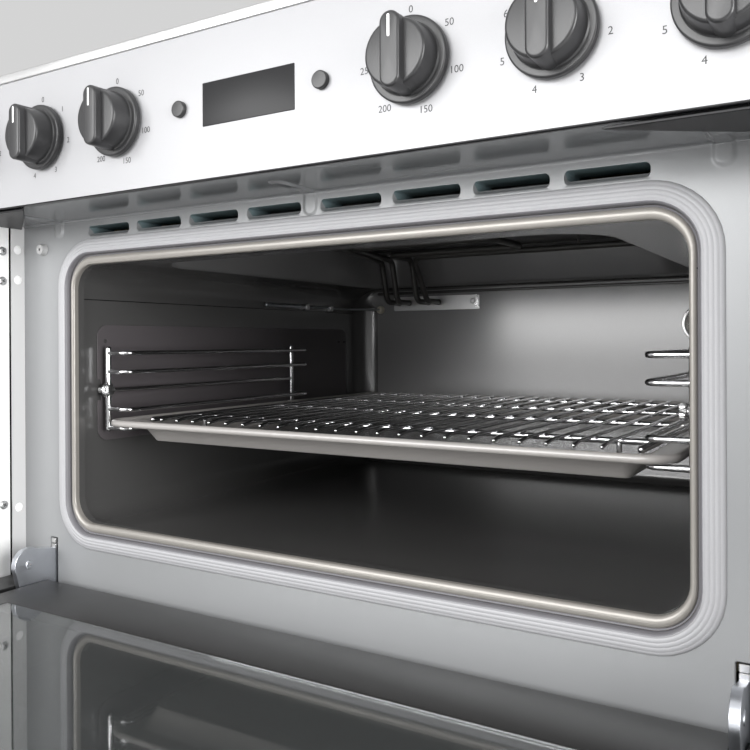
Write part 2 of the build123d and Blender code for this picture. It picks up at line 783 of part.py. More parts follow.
# Main oven liner with holes for the fan shaft, element legs, lamp and rack screws
fan_height = (main_floor + main_ceiling) / 2
shaft_radius = 3.0
shaft_hole_radius = 7.0
ring_radius = 88.0
ring_leg_angle = 12.0
ring_depth = 413.0
ring_leg_start = 90 - ring_leg_angle
ring_leg_range = 4 * ring_leg_angle
with BuildPart() as main_oven_liner:
    add(cavity_shell(main_floor, main_ceiling))
    for side in (-1, 1):
        with BuildSketch(sideways(side * cavity_half_width)):
            with Locations((thumb_depth, main_thumb_height)):
                Circle(thumb_shank_radius + seat_gap)
        extrude(amount=side * thin_sheet, mode=Mode.SUBTRACT)
    with BuildSketch(facing(cavity_depth + thin_sheet)):
        with Locations((0, fan_height)):
            Circle(shaft_hole_radius)
            with PolarLocations(ring_radius, 2, start_angle=ring_leg_start, angular_range=ring_leg_range):
                Circle(leg_hole_radius)
        with Locations((lamp_x, main_lamp_height)):
            Circle(lamp_body_radius + seat_gap)
    extrude(amount=thin_sheet, mode=Mode.SUBTRACT)
main_oven_liner.part.label = "main_oven_liner"
export_step(main_oven_liner.part, "parts/main_oven_liner.step")

# Insulation blankets round both cavities
blanket = 20.0
blanket_front = 20.0
blanket_fit = thin_sheet + seat_gap
leg_window_low = 738.0
leg_window_high = 770.0
motor_neck_radius = 14.0
wool_gap = 2.0
leg_window_shift = -10.0
leg_window_spare = 30.0
ring_window_width = 60.0
ring_window_height = 24.0
screw_window = 20.0
wool_reach = 4.0


def blanket_shell(low_z, high_z, inner_low, inner_high):
    """Blanket with open front, between an outer box and the space it wraps."""
    inner_x = cavity_half_width + blanket_fit
    inner_rear = cavity_depth + blanket_fit
    with BuildPart() as shell:
        add(rounded_block(inner_x + blanket, low_z, high_z, cavity_corner, blanket_front,
                          inner_rear + blanket))
        add(rounded_block(inner_x, inner_low, inner_high, thin_sheet, blanket_front, inner_rear),
            mode=Mode.SUBTRACT)
    return shell.part


top_wrap_low = base_tube_height - tube_radius - seat_gap
top_wrap_high = recess_top + thin_sheet + seat_gap
main_wrap_low = main_floor - blanket_fit
main_wrap_high = main_ceiling + blanket_fit
with BuildPart() as oven_insulation:
    add(blanket_shell(top_wrap_low - blanket, top_wrap_high + blanket, top_wrap_low, top_wrap_high))
    add(blanket_shell(main_wrap_low - blanket, main_wrap_high + blanket, main_wrap_low, main_wrap_high))
    with BuildSketch(facing(cavity_depth + blanket_fit + blanket)):
        leg_window_x = (bracket_left + bracket_right) / 2 + leg_window_shift
        with Locations((leg_window_x, (leg_window_low + leg_window_high) / 2)):
            Rectangle(bracket_right - bracket_left + leg_window_spare, leg_window_high - leg_window_low)
        with Locations((lamp_x, lamp_height), (lamp_x, main_lamp_height)):
            Circle(lamp_body_radius + wool_gap)
        with Locations((-base_leg_x, base_tube_height), (base_leg_x, base_tube_height)):
            Rectangle(4 * tube_radius, 4 * tube_radius)
        with Locations((0, fan_height)):
            Circle(motor_neck_radius + wool_gap)
        with Locations((0, fan_height + ring_radius)):
            Rectangle(ring_window_width, ring_window_height)
    extrude(amount=blanket, mode=Mode.SUBTRACT)
    with BuildSketch(sideways(-cavity_half_width - blanket - wool_reach)):
        with Locations((thumb_depth, thumb_height), (thumb_depth, main_thumb_height)):
            Rectangle(screw_window, screw_window)
    extrude(amount=2 * (cavity_half_width + blanket + wool_reach), mode=Mode.SUBTRACT)
oven_insulation.part.label = "oven_insulation"
export_step(oven_insulation.part, "parts/oven_insulation.step")

# Fan baffle at the back of the main oven, with an inlet grille and outlet slots
cover_half_width = 150.0
cover_low = 182.0
cover_high = 392.0
cover_depth = 40.0
cover_corner = 16.0
cover_round = 8.0
cover_front = cavity_depth - seat_gap - cover_depth
cover_back = cavity_depth - seat_gap
cover_inner = thin_sheet + cover_round
cover_hollows = ((thin_sheet, cover_front + cover_round), (cover_inner, cover_front + thin_sheet))
inlet_rings = ((18.0, 8, 5.0), (38.0, 16, 6.0), (58.0, 24, 6.0))
inlet_slot_length = 13.0
outlet_slot_length = 24.0
outlet_slot_width = 7.0
outlet_slot_pitch = 24.0
outlet_slot_count = 7
outlet_inset = 26.0
with BuildPart() as fan_cover:
    add(rounded_block(cover_half_width, cover_low, cover_high, cover_corner, cover_front, cover_back))
    fillet(fan_cover.faces().sort_by(Axis.Y)[0].edges(), cover_round)
    for inset, hollow_front in cover_hollows:
        hollow_corner = max(cover_corner - inset, cover_round)
        add(rounded_block(cover_half_width - inset, cover_low + inset, cover_high - inset, hollow_corner,
                          hollow_front, cover_back), mode=Mode.SUBTRACT)
    with BuildSketch(facing(cover_front + 2 * thin_sheet)):
        with Locations((0, fan_height)):
            for inlet_radius, inlet_count, inlet_width in inlet_rings:
                with PolarLocations(inlet_radius, inlet_count):
                    SlotOverall(inlet_slot_length, inlet_width)
        for side in (-1, 1):
            with Locations((side * (cover_half_width - outlet_inset), fan_height)):
                with GridLocations(1, outlet_slot_pitch, 1, outlet_slot_count):
                    SlotOverall(outlet_slot_length, outlet_slot_width)
    extrude(amount=4 * thin_sheet, mode=Mode.SUBTRACT)
fan_cover.part.label = "fan_cover"
export_step(fan_cover.part, "parts/fan_cover.step")

# Ring element round the oven fan
fan_axis = Axis((0, front_y, fan_height), (0, 1, 0))
ring_turn = 360 - 2 * ring_leg_angle
with BuildPart() as fan_ring_element:
    with BuildSketch(Plane(origin=(0, front_y + ring_depth, fan_height), x_dir=(0, 1, 0), z_dir=(1, 0, 0))
                     .rotated((0, ring_leg_angle, 0))):
        with Locations((0, ring_radius)):
            Circle(tube_radius)
    revolve(axis=fan_axis, revolution_arc=ring_turn)
    with BuildSketch(facing(leg_end)):
        with Locations((0, fan_height)):
            with PolarLocations(ring_radius, 2, start_angle=ring_leg_start, angular_range=ring_leg_range):
                Circle(tube_radius)
    extrude(amount=leg_end - ring_depth)
    with BuildSketch(Plane(origin=(0, front_y + ring_depth, fan_height), x_dir=(1, 0, 0), z_dir=(0, -1, 0))):
        with PolarLocations(ring_radius, 2, start_angle=ring_leg_start, angular_range=ring_leg_range):
            Circle(tube_radius)
    extrude(amount=tube_radius)
fan_ring_element.part.label = "fan_ring_element"
export_step(fan_ring_element.part, "parts/fan_ring_element.step")

# Oven fan: pressed blades on a shaft that runs in the motor's bearing
blade_radius = 68.0
blade_root = 16.0
blade_width = 14.0
blade_count = 9
blade_sheet = 1.2
hub_radius = 9.0
hub_short = 4.0
disc_radius = 36.0
fan_front = 404.0
fan_back = 424.0
motor_face = cavity_depth + thin_sheet
shaft_end = 470.0
with BuildPart() as oven_fan_blade:
    with BuildSketch(facing(shaft_end)):
        with Locations((0, fan_height)):
            Circle(shaft_radius)
    extrude(amount=shaft_end - fan_front)
    with BuildSketch(facing(fan_back)):
        with Locations((0, fan_height)):
            Circle(hub_radius)
    extrude(amount=fan_back - fan_front - hub_short)
    with BuildSketch(facing(fan_back)):
        with Locations((0, fan_height)):
            Circle(disc_radius)
    extrude(amount=thin_sheet)
    with BuildSketch(facing(fan_back)):
        with Locations((0, fan_height)):
            with PolarLocations((blade_radius + blade_root) / 2, blade_count):
                Rectangle(blade_radius - blade_root, blade_sheet)
    extrude(amount=blade_width)
oven_fan_blade.part.label = "oven_fan_blade"
export_step(oven_fan_blade.part, "parts/oven_fan_blade.step")

stack_width = 72.0
stack_height = 62.0
stack_front = 462.0
stack_rear = 492.0
stack_corner = 4.0
neck_flange = 1.0
flange_thickness = 2.0
bearing_spare = 2.0
with BuildPart() as oven_fan_motor:
    with BuildSketch(facing(stack_front)):
        with Locations((0, fan_height)):
            Circle(motor_neck_radius)
    extrude(amount=stack_front - motor_face - neck_flange)
    with BuildSketch(facing(motor_face + flange_thickness)):
        with Locations((0, fan_height)):
            Circle(motor_neck_radius + neck_flange)
    extrude(amount=flange_thickness)
    with BuildSketch(facing(stack_rear)):
        with Locations((0, fan_height)):
            RectangleRounded(stack_width, stack_height, stack_corner)
    extrude(amount=stack_rear - stack_front)
    with BuildSketch(facing(shaft_end + bearing_spare)):
        with Locations((0, fan_height)):
            Circle(shaft_radius + running_gap)
    extrude(amount=shaft_end + bearing_spare - motor_face, mode=Mode.SUBTRACT)
oven_fan_motor.part.label = "oven_fan_motor"
export_step(oven_fan_motor.part, "parts/oven_fan_motor.step")

# Hinge arms: two plates in one, hooked into the frame slots, each with its rivet and its pivot pin
with BuildPart() as hinge_arms:
    for pivot in (top_door_pivot, main_door_pivot):
        rivet_height_z = pivot + rivet_above_pivot
        for side in (-1, 1):
            arm_low = side * hinge_x - arm_thickness / 2
            with BuildSketch(sideways(arm_low)):
                with Locations((rivet_depth, rivet_height_z)):
                    Circle(arm_nose_radius)
                with Locations((door_pivot_depth, pivot)):
                    Circle(arm_foot_radius)
                with BuildLine():
                    Polyline((rivet_depth - arm_nose_radius, rivet_height_z),
                             (door_pivot_depth - arm_foot_radius, pivot),
                             (door_pivot_depth, pivot - arm_foot_radius),
                             (arm_hook_depth, pivot - arm_foot_radius),
                             (arm_hook_depth, pivot + hook_shoulder), (0, pivot + hook_shoulder + hook_rise),
                             (rivet_depth + neck_depth, rivet_height_z + neck_height),
                             (rivet_depth, rivet_height_z), close=True)
                make_face()
            extrude(amount=arm_thickness)
            with BuildSketch(sideways(arm_low)):
                with Locations((arm_hook_depth - latch_overlap, rivet_height_z)):
                    Rectangle(latch_depth, latch_height)
            extrude(amount=arm_thickness)
            with BuildSketch(sideways(arm_low - rivet_height)):
                with Locations((rivet_depth, rivet_height_z)):
                    Circle(rivet_radius)
            extrude(amount=arm_thickness + 2 * rivet_height)
            with BuildSketch(sideways(arm_low - pocket_gap - channel_wall)):
                with Locations((door_pivot_depth, pivot)):
                    Circle(pivot_pin_radius)
            extrude(amount=arm_thickness + 2 * (pocket_gap + channel_wall))
hinge_arms.part.label = "hinge_arms"
export_step(hinge_arms.part, "parts/hinge_arms.step")

# Rubber buffers on the front frame
buffer_radius = 4.5
buffer_reach = 4.6
buffer_slope = 6.0
buffer_stem = 6.0
buffer_eye_radius = 1.1
buffer_eye_depth = 2.0
with BuildPart() as door_buffers:
    for height in (buffer_height, main_buffer_height):
        for side in (-1, 1):
            with BuildSketch(facing(0)):
                with Locations((side * buffer_x, height)):
                    Circle(buffer_radius)
            extrude(amount=buffer_reach, taper=buffer_slope)
            with BuildSketch(facing(buffer_stem)):
                with Locations((side * buffer_x, height)):
                    Circle(buffer_stem_radius)
            extrude(amount=buffer_stem)
            with BuildSketch(facing(-buffer_reach)):
                with Locations((side * buffer_x, height)):
                    Circle(buffer_eye_radius)
            extrude(amount=-buffer_eye_depth, mode=Mode.SUBTRACT)
door_buffers.part.label = "door_buffers"
export_step(door_buffers.part, "parts/door_buffers.step")

# Doors, drawn lying open: casing, outer glass, inner glass and handle
pocket_half_width = arm_thickness / 2 + pocket_gap
channel_half_width = pocket_half_width + channel_wall
channel_height = pocket_height + channel_wall


def door_block(pivot, half_x, low, high, from_depth, to_depth):
    """Block inside an open door, between two depths of the door."""
    with BuildPart() as block:
        with BuildSketch(door_face(pivot, to_depth)):
            with Locations((0, (low + high) / 2)):
                Rectangle(2 * half_x, high - low)
        extrude(amount=to_depth - from_depth)
    return block.part


doors = (("top", top_door_pivot, top_door_top), ("main", main_door_pivot, main_door_top))
for door_name, pivot, door_top in doors:
    door_length = door_top - pivot
    glass_back = -door_front_reach + door_glass
    window_low = window_margin_end
    window_high = door_length - window_margin_end + window_top_spare
    window_half_width = door_half_width - window_margin_side
    with BuildPart() as door_shell:
        add(door_block(pivot, door_half_width, -door_below_pivot, door_length, glass_back, door_rear_reach))
        hollow = door_block(pivot, door_half_width - door_casing_wall, -door_below_pivot + door_casing_wall,
                            door_length - door_casing_wall, glass_back, door_rear_reach - door_panel)
        add(hollow, mode=Mode.SUBTRACT)
        for side in (-1, 1):
            with BuildSketch(door_face(pivot, door_rear_reach)):
                with Locations((side * hinge_x, (channel_height - door_below_pivot) / 2)):
                    Rectangle(2 * channel_half_width, channel_height + door_below_pivot)
            extrude(amount=door_rear_reach - glass_back)
        with BuildSketch(door_face(pivot, door_rear_reach)):
            with Locations((0, (window_low + window_high) / 2)):
                Rectangle(2 * (window_half_width - window_ledge), window_high - window_low - 2 * window_ledge)
        extrude(amount=door_panel, mode=Mode.SUBTRACT)
        with BuildSketch(door_face(pivot, door_rear_reach)):
            with Locations((0, (window_low + window_high) / 2)):
                Rectangle(2 * (window_half_width + door_fit_gap), window_high - window_low + 2 * door_fit_gap)
        extrude(amount=door_glass + door_fit_gap, mode=Mode.SUBTRACT)
        for side in (-1, 1):
            with BuildSketch(door_face(pivot, door_rear_reach)):
                with Locations((side * hinge_x, (pocket_height - door_below_pivot) / 2)):
                    Rectangle(2 * pocket_half_width, pocket_height + door_below_pivot)
            extrude(amount=door_rear_reach + pocket_back, mode=Mode.SUBTRACT)
            with BuildSketch(sideways(side * hinge_x - pocket_half_width - 2 * channel_wall)):
                with Locations((door_pivot_depth, pivot)):
                    Circle(pivot_pin_radius + running_gap)
            extrude(amount=2 * pocket_half_width + 4 * channel_wall, mode=Mode.SUBTRACT)
    door_shell.part.label = f"{door_name}_door_shell"
    export_step(door_shell.part, f"parts/{door_name}_door_shell.step")

    with BuildPart() as outer_glass:
        add(door_block(pivot, door_half_width, -door_below_pivot, door_length, -door_front_reach, glass_back))
        fillet(outer_glass.edges().filter_by(Axis.X).group_by(Axis.Z)[0], glass_edge_round)
    outer_glass.part.label = f"{door_name}_door_outer_glass"
    export_step(outer_glass.part, f"parts/{door_name}_door_outer_glass.step")

    with BuildPart() as inner_glass:
        add(door_block(pivot, window_half_width, window_low, window_high,
                       door_rear_reach - door_glass, door_rear_reach))
    inner_glass.part.label = f"{door_name}_door_inner_glass"
    export_step(inner_glass.part, f"parts/{door_name}_door_inner_glass.step")

    handle_along = door_length - handle_from_top
    with BuildPart() as door_handle:
        with BuildSketch(Plane(origin=(-handle_half_length, front_y + door_pivot_depth - handle_along,
                                       pivot - door_front_reach - handle_reach + handle_radius),
                               x_dir=(0, 1, 0), z_dir=(1, 0, 0))):
            Circle(handle_radius)
        extrude(amount=2 * handle_half_length)
        fillet(door_handle.edges(), handle_radius / 3)
        with BuildSketch(door_face(pivot, -door_front_reach)):
            with Locations((-handle_post_spacing / 2, handle_along), (handle_post_spacing / 2, handle_along)):
                Circle(handle_post_radius)
        extrude(amount=handle_reach - handle_radius)
    door_handle.part.label = f"{door_name}_door_handle"
    export_step(door_handle.part, f"parts/{door_name}_door_handle.step")

# Grill pan: flanged, rolled rim and tapered well
pan_half_width = 219.0
pan_front = 17.0
pan_rear = 428.0
pan_corner = 18.0
pan_rim_radius = 2.7
pan_lowest_runner = top_runner_heights[-1]
pan_rim_height = pan_lowest_runner + runner_radius + seat_gap + pan_rim_radius
pan_bottom = 628.0
well_half_width = 200.0
well_front = 34.0
well_rear = 411.0
well_corner = 16.0
well_slope = 38.0
pan_mid = (pan_front + pan_rear) / 2
well_mid = (well_front + well_rear) / 2
with BuildSketch(level(pan_rim_height)) as rim_outline:
    with Locations((0, pan_mid)):
        RectangleRounded(2 * (pan_half_width - pan_rim_radius), pan_rear - pan_front - 2 * pan_rim_radius,
                         pan_corner)
rim_route = rim_outline.sketch.face().outer_wire()
with BuildPart() as grill_pan:
    with BuildSketch(level(pan_rim_height - thin_sheet / 2)):
        with Locations((0, pan_mid)):
            RectangleRounded(2 * (pan_half_width - pan_rim_radius), pan_rear - pan_front - 2 * pan_rim_radius,
                             pan_corner)
    extrude(amount=thin_sheet)
    with BuildSketch(Plane(origin=rim_route @ 0, z_dir=rim_route % 0)):
        Circle(pan_rim_radius)
    sweep(path=rim_route)
    with BuildSketch(level(pan_rim_height)):
        with Locations((0, well_mid)):
            RectangleRounded(2 * well_half_width, well_rear - well_front, well_corner)
    extrude(amount=-(pan_rim_height - pan_bottom), taper=well_slope)
    with BuildSketch(level(pan_rim_height + thin_sheet / 2)):
        with Locations((0, well_mid)):
            RectangleRounded(2 * (well_half_width - thin_sheet), well_rear - well_front - 2 * thin_sheet,
                             well_corner)
    extrude(amount=-(pan_rim_height - pan_bottom - thin_sheet / 2), taper=well_slope, mode=Mode.SUBTRACT)
grill_pan.part.label = "grill_pan"
export_step(grill_pan.part, "parts/grill_pan.step")

# Grid in the grill pan: long wires with their front ends bent down, cross wires, frame rods and feet
bar_radius = 1.3
bar_pitch = 16.6
bar_count = 22
bar_height = 647.4
bar_front = 50.0
bar_drop = 3.2
bar_rear = 398.0
bar_nose = 10.0
bar_bend = 8.0
cross_radius = 2.0
cross_depths = (87.0, 200.0, 300.0, 392.0)
rod_x = 194.0
rod_radius = 2.4
grid_foot_x = 172.0
grid_foot_radius = 1.7
grid_overlap = 0.5
bar_first = -(bar_count - 1) * bar_pitch / 2
cross_height = bar_height - bar_radius - cross_radius + grid_overlap
with BuildPart() as grill_grid:
    for bar_number in range(bar_count):
        bar_x = bar_first + bar_number * bar_pitch
        add(wire_run([(bar_x, bar_front - bar_nose, bar_height - bar_drop), (bar_x, bar_front, bar_height),
                      (bar_x, bar_rear, bar_height)], bar_bend, bar_radius))
    for cross_depth in cross_depths:
        with BuildSketch(sideways(-rod_x)):
            with Locations((cross_depth, cross_height)):
                Circle(cross_radius)
        extrude(amount=2 * rod_x)
    for side in (-1, 1):
        with BuildSketch(facing(bar_rear)):
            with Locations((side * rod_x, cross_height)):
                Circle(rod_radius)
        extrude(amount=bar_rear - bar_front)
        for foot_depth in (cross_depths[0], cross_depths[-1]):
            with BuildSketch(level(pan_bottom + thin_sheet + seat_gap)):
                with Locations((side * grid_foot_x, foot_depth)):
                    Circle(grid_foot_radius)
            extrude(amount=cross_height - pan_bottom - thin_sheet - seat_gap)
grill_grid.part.label = "grill_grid"
export_step(grill_grid.part, "parts/grill_grid.step")

# Wire shelf of the main oven, on its second runner
shelf_bar_pitch = 22.0
shelf_bar_count = 19
shelf_front = 20.0
shelf_rear = 386.0
shelf_half_width = 216.0
shelf_rod_radius = 2.5
shelf_rod_height = main_runner_heights[1] + runner_radius + seat_gap + shelf_rod_radius
shelf_bar_height = shelf_rod_height + shelf_rod_radius + bar_radius - grid_overlap
shelf_bar_first = -(shelf_bar_count - 1) * shelf_bar_pitch / 2
shelf_rod_inset = 8.0
shelf_rods = (shelf_front + shelf_rod_inset, 200.0, shelf_rear - shelf_rod_inset)
with BuildPart() as main_shelf:
    for bar_number in range(shelf_bar_count):
        with BuildSketch(facing(shelf_rear)):
            with Locations((shelf_bar_first + bar_number * shelf_bar_pitch, shelf_bar_height)):
                Circle(bar_radius)
        extrude(amount=shelf_rear - shelf_front)
    for rod_depth in shelf_rods:
        with BuildSketch(sideways(-shelf_half_width)):
            with Locations((rod_depth, shelf_rod_height)):
                Circle(shelf_rod_radius)
        extrude(amount=2 * shelf_half_width)
    for side in (-1, 1):
        with BuildSketch(facing(shelf_rear)):
            with Locations((side * shelf_half_width, shelf_rod_height)):
                Circle(shelf_rod_radius)
        extrude(amount=shelf_rear - shelf_front)
main_shelf.part.label = "main_shelf"
export_step(main_shelf.part, "parts/main_shelf.step")

# Control panel: fascia, end caps, switches, timer, buttons and knobs
control_height = 848.0
knob_spacing = 74.0
knob_first = 107.0
knob_offsets = []
for knob_number in range(3):
    knob_offset = knob_first + knob_number * knob_spacing
    knob_offsets = [-knob_offset, *knob_offsets, knob_offset]
spindle_radius = 3.0
bush_radius = 5.0
switch_size = 34.0
switch_depth = 30.0
switch_corner = 3.0
bush_short = 0.5
spindle_bore = 12.0
fascia_edge_round = 1.5
timer_half_width = 34.0
timer_half_height = 13.0
button_x = 52.0
button_radius = 5.0
button_names = ("minus", "plus")
cap_line_x = 234.0
cap_front_x = 203.0
cap_line_depth = -39.0
cap_plate = 1.5
cap_tip_depth = -2.0
with BuildPart() as control_fascia:
    with BuildSketch(facing(fascia_rear)):
        with Locations((0, (fascia_bottom + fascia_top) / 2)):
            Rectangle(cooker_width, fascia_top - fascia_bottom)
        for knob_x in knob_offsets:
            with Locations((knob_x, control_height)):
                Circle(bush_radius + seat_gap, mode=Mode.SUBTRACT)
        with Locations((0, control_height)):
            Rectangle(2 * (timer_half_width + seat_gap), 2 * (timer_half_height + seat_gap),
                      mode=Mode.SUBTRACT)
        with Locations((-button_x, control_height), (button_x, control_height)):
            Circle(button_radius + seat_gap, mode=Mode.SUBTRACT)
    extrude(amount=fascia_plate)
    front_edges = control_fascia.faces().sort_by(Axis.Y)[0].edges()
    fillet(front_edges.filter_by(Axis.X).group_by(Axis.Z)[0], fascia_edge_round)
control_fascia.part.label = "control_fascia"
export_step(control_fascia.part, "parts/control_fascia.step")

cap_top = fascia_bottom - bead_height - seat_gap
cap_low = cap_top - cap_plate
cap_side = 2.0
cap_rear = -post_depth - seat_gap
with BuildPart() as fascia_end_caps:
    for side in (-1, 1):
        with BuildSketch(level(cap_low)):
            with BuildLine():
                Polyline((side * post_inner, cap_rear), (side * post_inner, cap_tip_depth),
                         (side * cap_line_x, cap_line_depth), (side * cap_front_x, -panel_overhang),
                         (side * half_width, -panel_overhang), (side * half_width, cap_rear), close=True)
            make_face()
        extrude(amount=cap_plate)
        with BuildSketch(sideways(side * half_width)):
            with Locations(((fascia_rear + cap_rear) / 2, (cap_low + fascia_top) / 2)):
                Rectangle(cap_rear - fascia_rear, fascia_top - cap_low)
            with Locations(((fascia_rear - seat_gap) / 2, (fascia_bottom + fascia_top) / 2)):
                Rectangle(-fascia_rear - seat_gap, fascia_top - fascia_bottom)
        extrude(amount=-side * cap_side)
fascia_end_caps.part.label = "fascia_end_caps"
export_step(fascia_end_caps.part, "parts/fascia_end_caps.step")

with BuildPart() as control_switches:
    for knob_x in knob_offsets:
        with BuildSketch(facing(fascia_rear + switch_depth)):
            with Locations((knob_x, control_height)):
                RectangleRounded(switch_size, switch_size, switch_corner)
        extrude(amount=switch_depth)
        with BuildSketch(facing(fascia_rear)):
            with Locations((knob_x, control_height)):
                Circle(bush_radius)
        extrude(amount=fascia_plate - bush_short)
        with BuildSketch(facing(fascia_rear + spindle_bore)):
            with Locations((knob_x, control_height)):
                Circle(spindle_radius + running_gap)
        extrude(amount=spindle_bore + fascia_plate, mode=Mode.SUBTRACT)
control_switches.part.label = "control_switches"
export_step(control_switches.part, "parts/control_switches.step")

timer_depth = 24.0
timer_case_spare = 14.0
timer_case_margin = 3.0
timer_stand = 0.4
button_bore = 12.0
with BuildPart() as timer_module:
    with BuildSketch(facing(fascia_rear + timer_depth)):
        with Locations((0, control_height)):
            Rectangle(2 * (button_x + timer_case_spare), 2 * (timer_half_height + timer_case_margin))
    extrude(amount=timer_depth)
    with BuildSketch(facing(fascia_rear)):
        with Locations((0, control_height)):
            Rectangle(2 * timer_half_width, 2 * timer_half_height)
    extrude(amount=fascia_plate + timer_stand)
    with BuildSketch(facing(fascia_rear + button_bore)):
        with Locations((-button_x, control_height), (button_x, control_height)):
            Circle(button_radius + seat_gap)
    extrude(amount=button_bore, mode=Mode.SUBTRACT)
timer_module.part.label = "timer_module"
export_step(timer_module.part, "parts/timer_module.step")

button_travel = 2.0
button_stand = 3.0
button_round = 0.8
button_back = fascia_rear + button_bore - button_travel - seat_gap
for button_side, button_name in zip((-1, 1), button_names):
    with BuildPart() as timer_button:
        with BuildSketch(facing(button_back)):
            with Locations((button_side * button_x, control_height)):
                Circle(button_radius)
        extrude(amount=button_back + panel_overhang + button_stand)
        fillet(timer_button.faces().sort_by(Axis.Y)[0].edges(), button_round)
    timer_button.part.label = f"timer_button_{button_name}"
    export_step(timer_button.part, f"parts/timer_button_{button_name}.step")

knob_names = ("knob_rear_left", "knob_front_left", "knob_top_oven", "knob_main_oven", "knob_front_right",
              "knob_rear_right")
knob_skirt_radius = 22.0
knob_skirt_height = 4.0
knob_grip_radius = 18.0
knob_grip_height = 22.0
knob_stand = 1.2
grip_half_width = 5.5
grip_spare = 1.0
grip_step = 5.0
grip_slope = 4.0
grip_round = 1.5
skirt_round = 1.2
knob_back = -panel_overhang - knob_stand
spindle_depth = 10.0
for knob_name, knob_x in zip(knob_names, knob_offsets):
    with BuildPart() as knob:
        with BuildSketch(facing(fascia_rear + spindle_depth)):
            with Locations((knob_x, control_height)):
                Circle(spindle_radius)
        extrude(amount=fascia_rear + spindle_depth - knob_back)
        with BuildSketch(facing(knob_back)):
            with Locations((knob_x, control_height)):
                Circle(knob_skirt_radius)
        extrude(amount=knob_skirt_height)
        fillet(knob.faces().sort_by(Axis.Y)[0].edges(), skirt_round)
        with BuildSketch(facing(knob_back - knob_skirt_height)):
            with Locations((knob_x, control_height)):
                Circle(knob_grip_radius)
        extrude(amount=knob_grip_height - knob_skirt_height - grip_step, taper=grip_slope)
        with BuildSketch(facing(knob_back - knob_skirt_height)):
            with Locations((knob_x, control_height)):
                SlotOverall(2 * knob_grip_radius + grip_spare, 2 * grip_half_width, rotation=90)
        extrude(amount=knob_grip_height - knob_skirt_height)
        fillet(knob.faces().sort_by(Axis.Y)[0].edges(), grip_round)
    knob.part.label = knob_name
    export_step(knob.part, f"parts/{knob_name}.step")

# Hob: tray with trim, ceramic glass and four radiant heaters
glass_top = cooker_height
glass_thickness = 4.0
trim_width = 9.0
tray_floor = 867.0
tray_inset = 16.0
tray_corner = 8.0
glass_corner = 5.0
glass_round = 0.8
glass_rise = 0.6
hob_front = -panel_overhang
hob_mid = (hob_front + body_depth) / 2
hob_depth = body_depth - hob_front
glass_margin = trim_width + seat_gap
with BuildPart() as hob_tray:
    with BuildSketch(level(fascia_top)):
        with Locations((0, hob_mid)):
            RectangleRounded(cooker_width, hob_depth, tray_corner)
    extrude(amount=cooker_height - fascia_top - glass_rise)
    with BuildSketch(level(cooker_height - glass_thickness)):
        with Locations((0, hob_mid)):
            Rectangle(cooker_width - 2 * trim_width, hob_depth - 2 * trim_width)
    extrude(amount=glass_thickness, mode=Mode.SUBTRACT)
    with BuildSketch(level(tray_floor - thin_sheet)):
        with Locations((0, hob_mid)):
            Rectangle(cooker_width - 2 * tray_inset, hob_depth - 2 * tray_inset)
    extrude(amount=fascia_top - tray_floor + thin_sheet)
    with BuildSketch(level(tray_floor)):
        with Locations((0, hob_mid)):
            Rectangle(cooker_width - 2 * (tray_inset + thin_sheet), hob_depth - 2 * (tray_inset + thin_sheet))
    extrude(amount=cooker_height - tray_floor, mode=Mode.SUBTRACT)
hob_tray.part.label = "hob_tray"
export_step(hob_tray.part, "parts/hob_tray.step")

with BuildPart() as hob_glass:
    with BuildSketch(level(glass_top - glass_thickness)):
        with Locations((0, hob_mid)):
            RectangleRounded(cooker_width - 2 * glass_margin, hob_depth - 2 * glass_margin, glass_corner)
    extrude(amount=glass_thickness)
    fillet(hob_glass.faces().sort_by(Axis.Z)[-1].edges(), glass_round)
hob_glass.part.label = "hob_glass"
export_step(hob_glass.part, "parts/hob_glass.step")

zone_small = 72.5
zone_large = 90.0
zone_x = 140.0
zone_front = 110.0
zone_rear = 385.0
heater_wall = 8.0
heater_top = glass_top - glass_thickness - seat_gap
heater_recess = 18.0
coil_shares = (0.3, 0.55, 0.8)
coil_half_width = 2.5
coil_short = 4.0
zones = ((-zone_x, zone_front, zone_large), (zone_x, zone_front, zone_small),
         (-zone_x, zone_rear, zone_small), (zone_x, zone_rear, zone_large))
with BuildPart() as radiant_heaters:
    for zone_centre, zone_depth, zone_radius in zones:
        with BuildSketch(level(tray_floor)):
            with Locations((zone_centre, zone_depth)):
                Circle(zone_radius + heater_wall)
        extrude(amount=heater_top - tray_floor)
        with BuildSketch(level(heater_top)):
            with Locations((zone_centre, zone_depth)):
                Circle(zone_radius)
        extrude(amount=-heater_recess, mode=Mode.SUBTRACT)
        for coil_share in coil_shares:
            with BuildSketch(level(heater_top - heater_recess)):
                with Locations((zone_centre, zone_depth)):
                    Circle(coil_share * zone_radius + coil_half_width)
                    Circle(coil_share * zone_radius - coil_half_width, mode=Mode.SUBTRACT)
            extrude(amount=heater_recess - coil_short)
radiant_heaters.part.label = "radiant_heaters"
export_step(radiant_heaters.part, "parts/radiant_heaters.step")

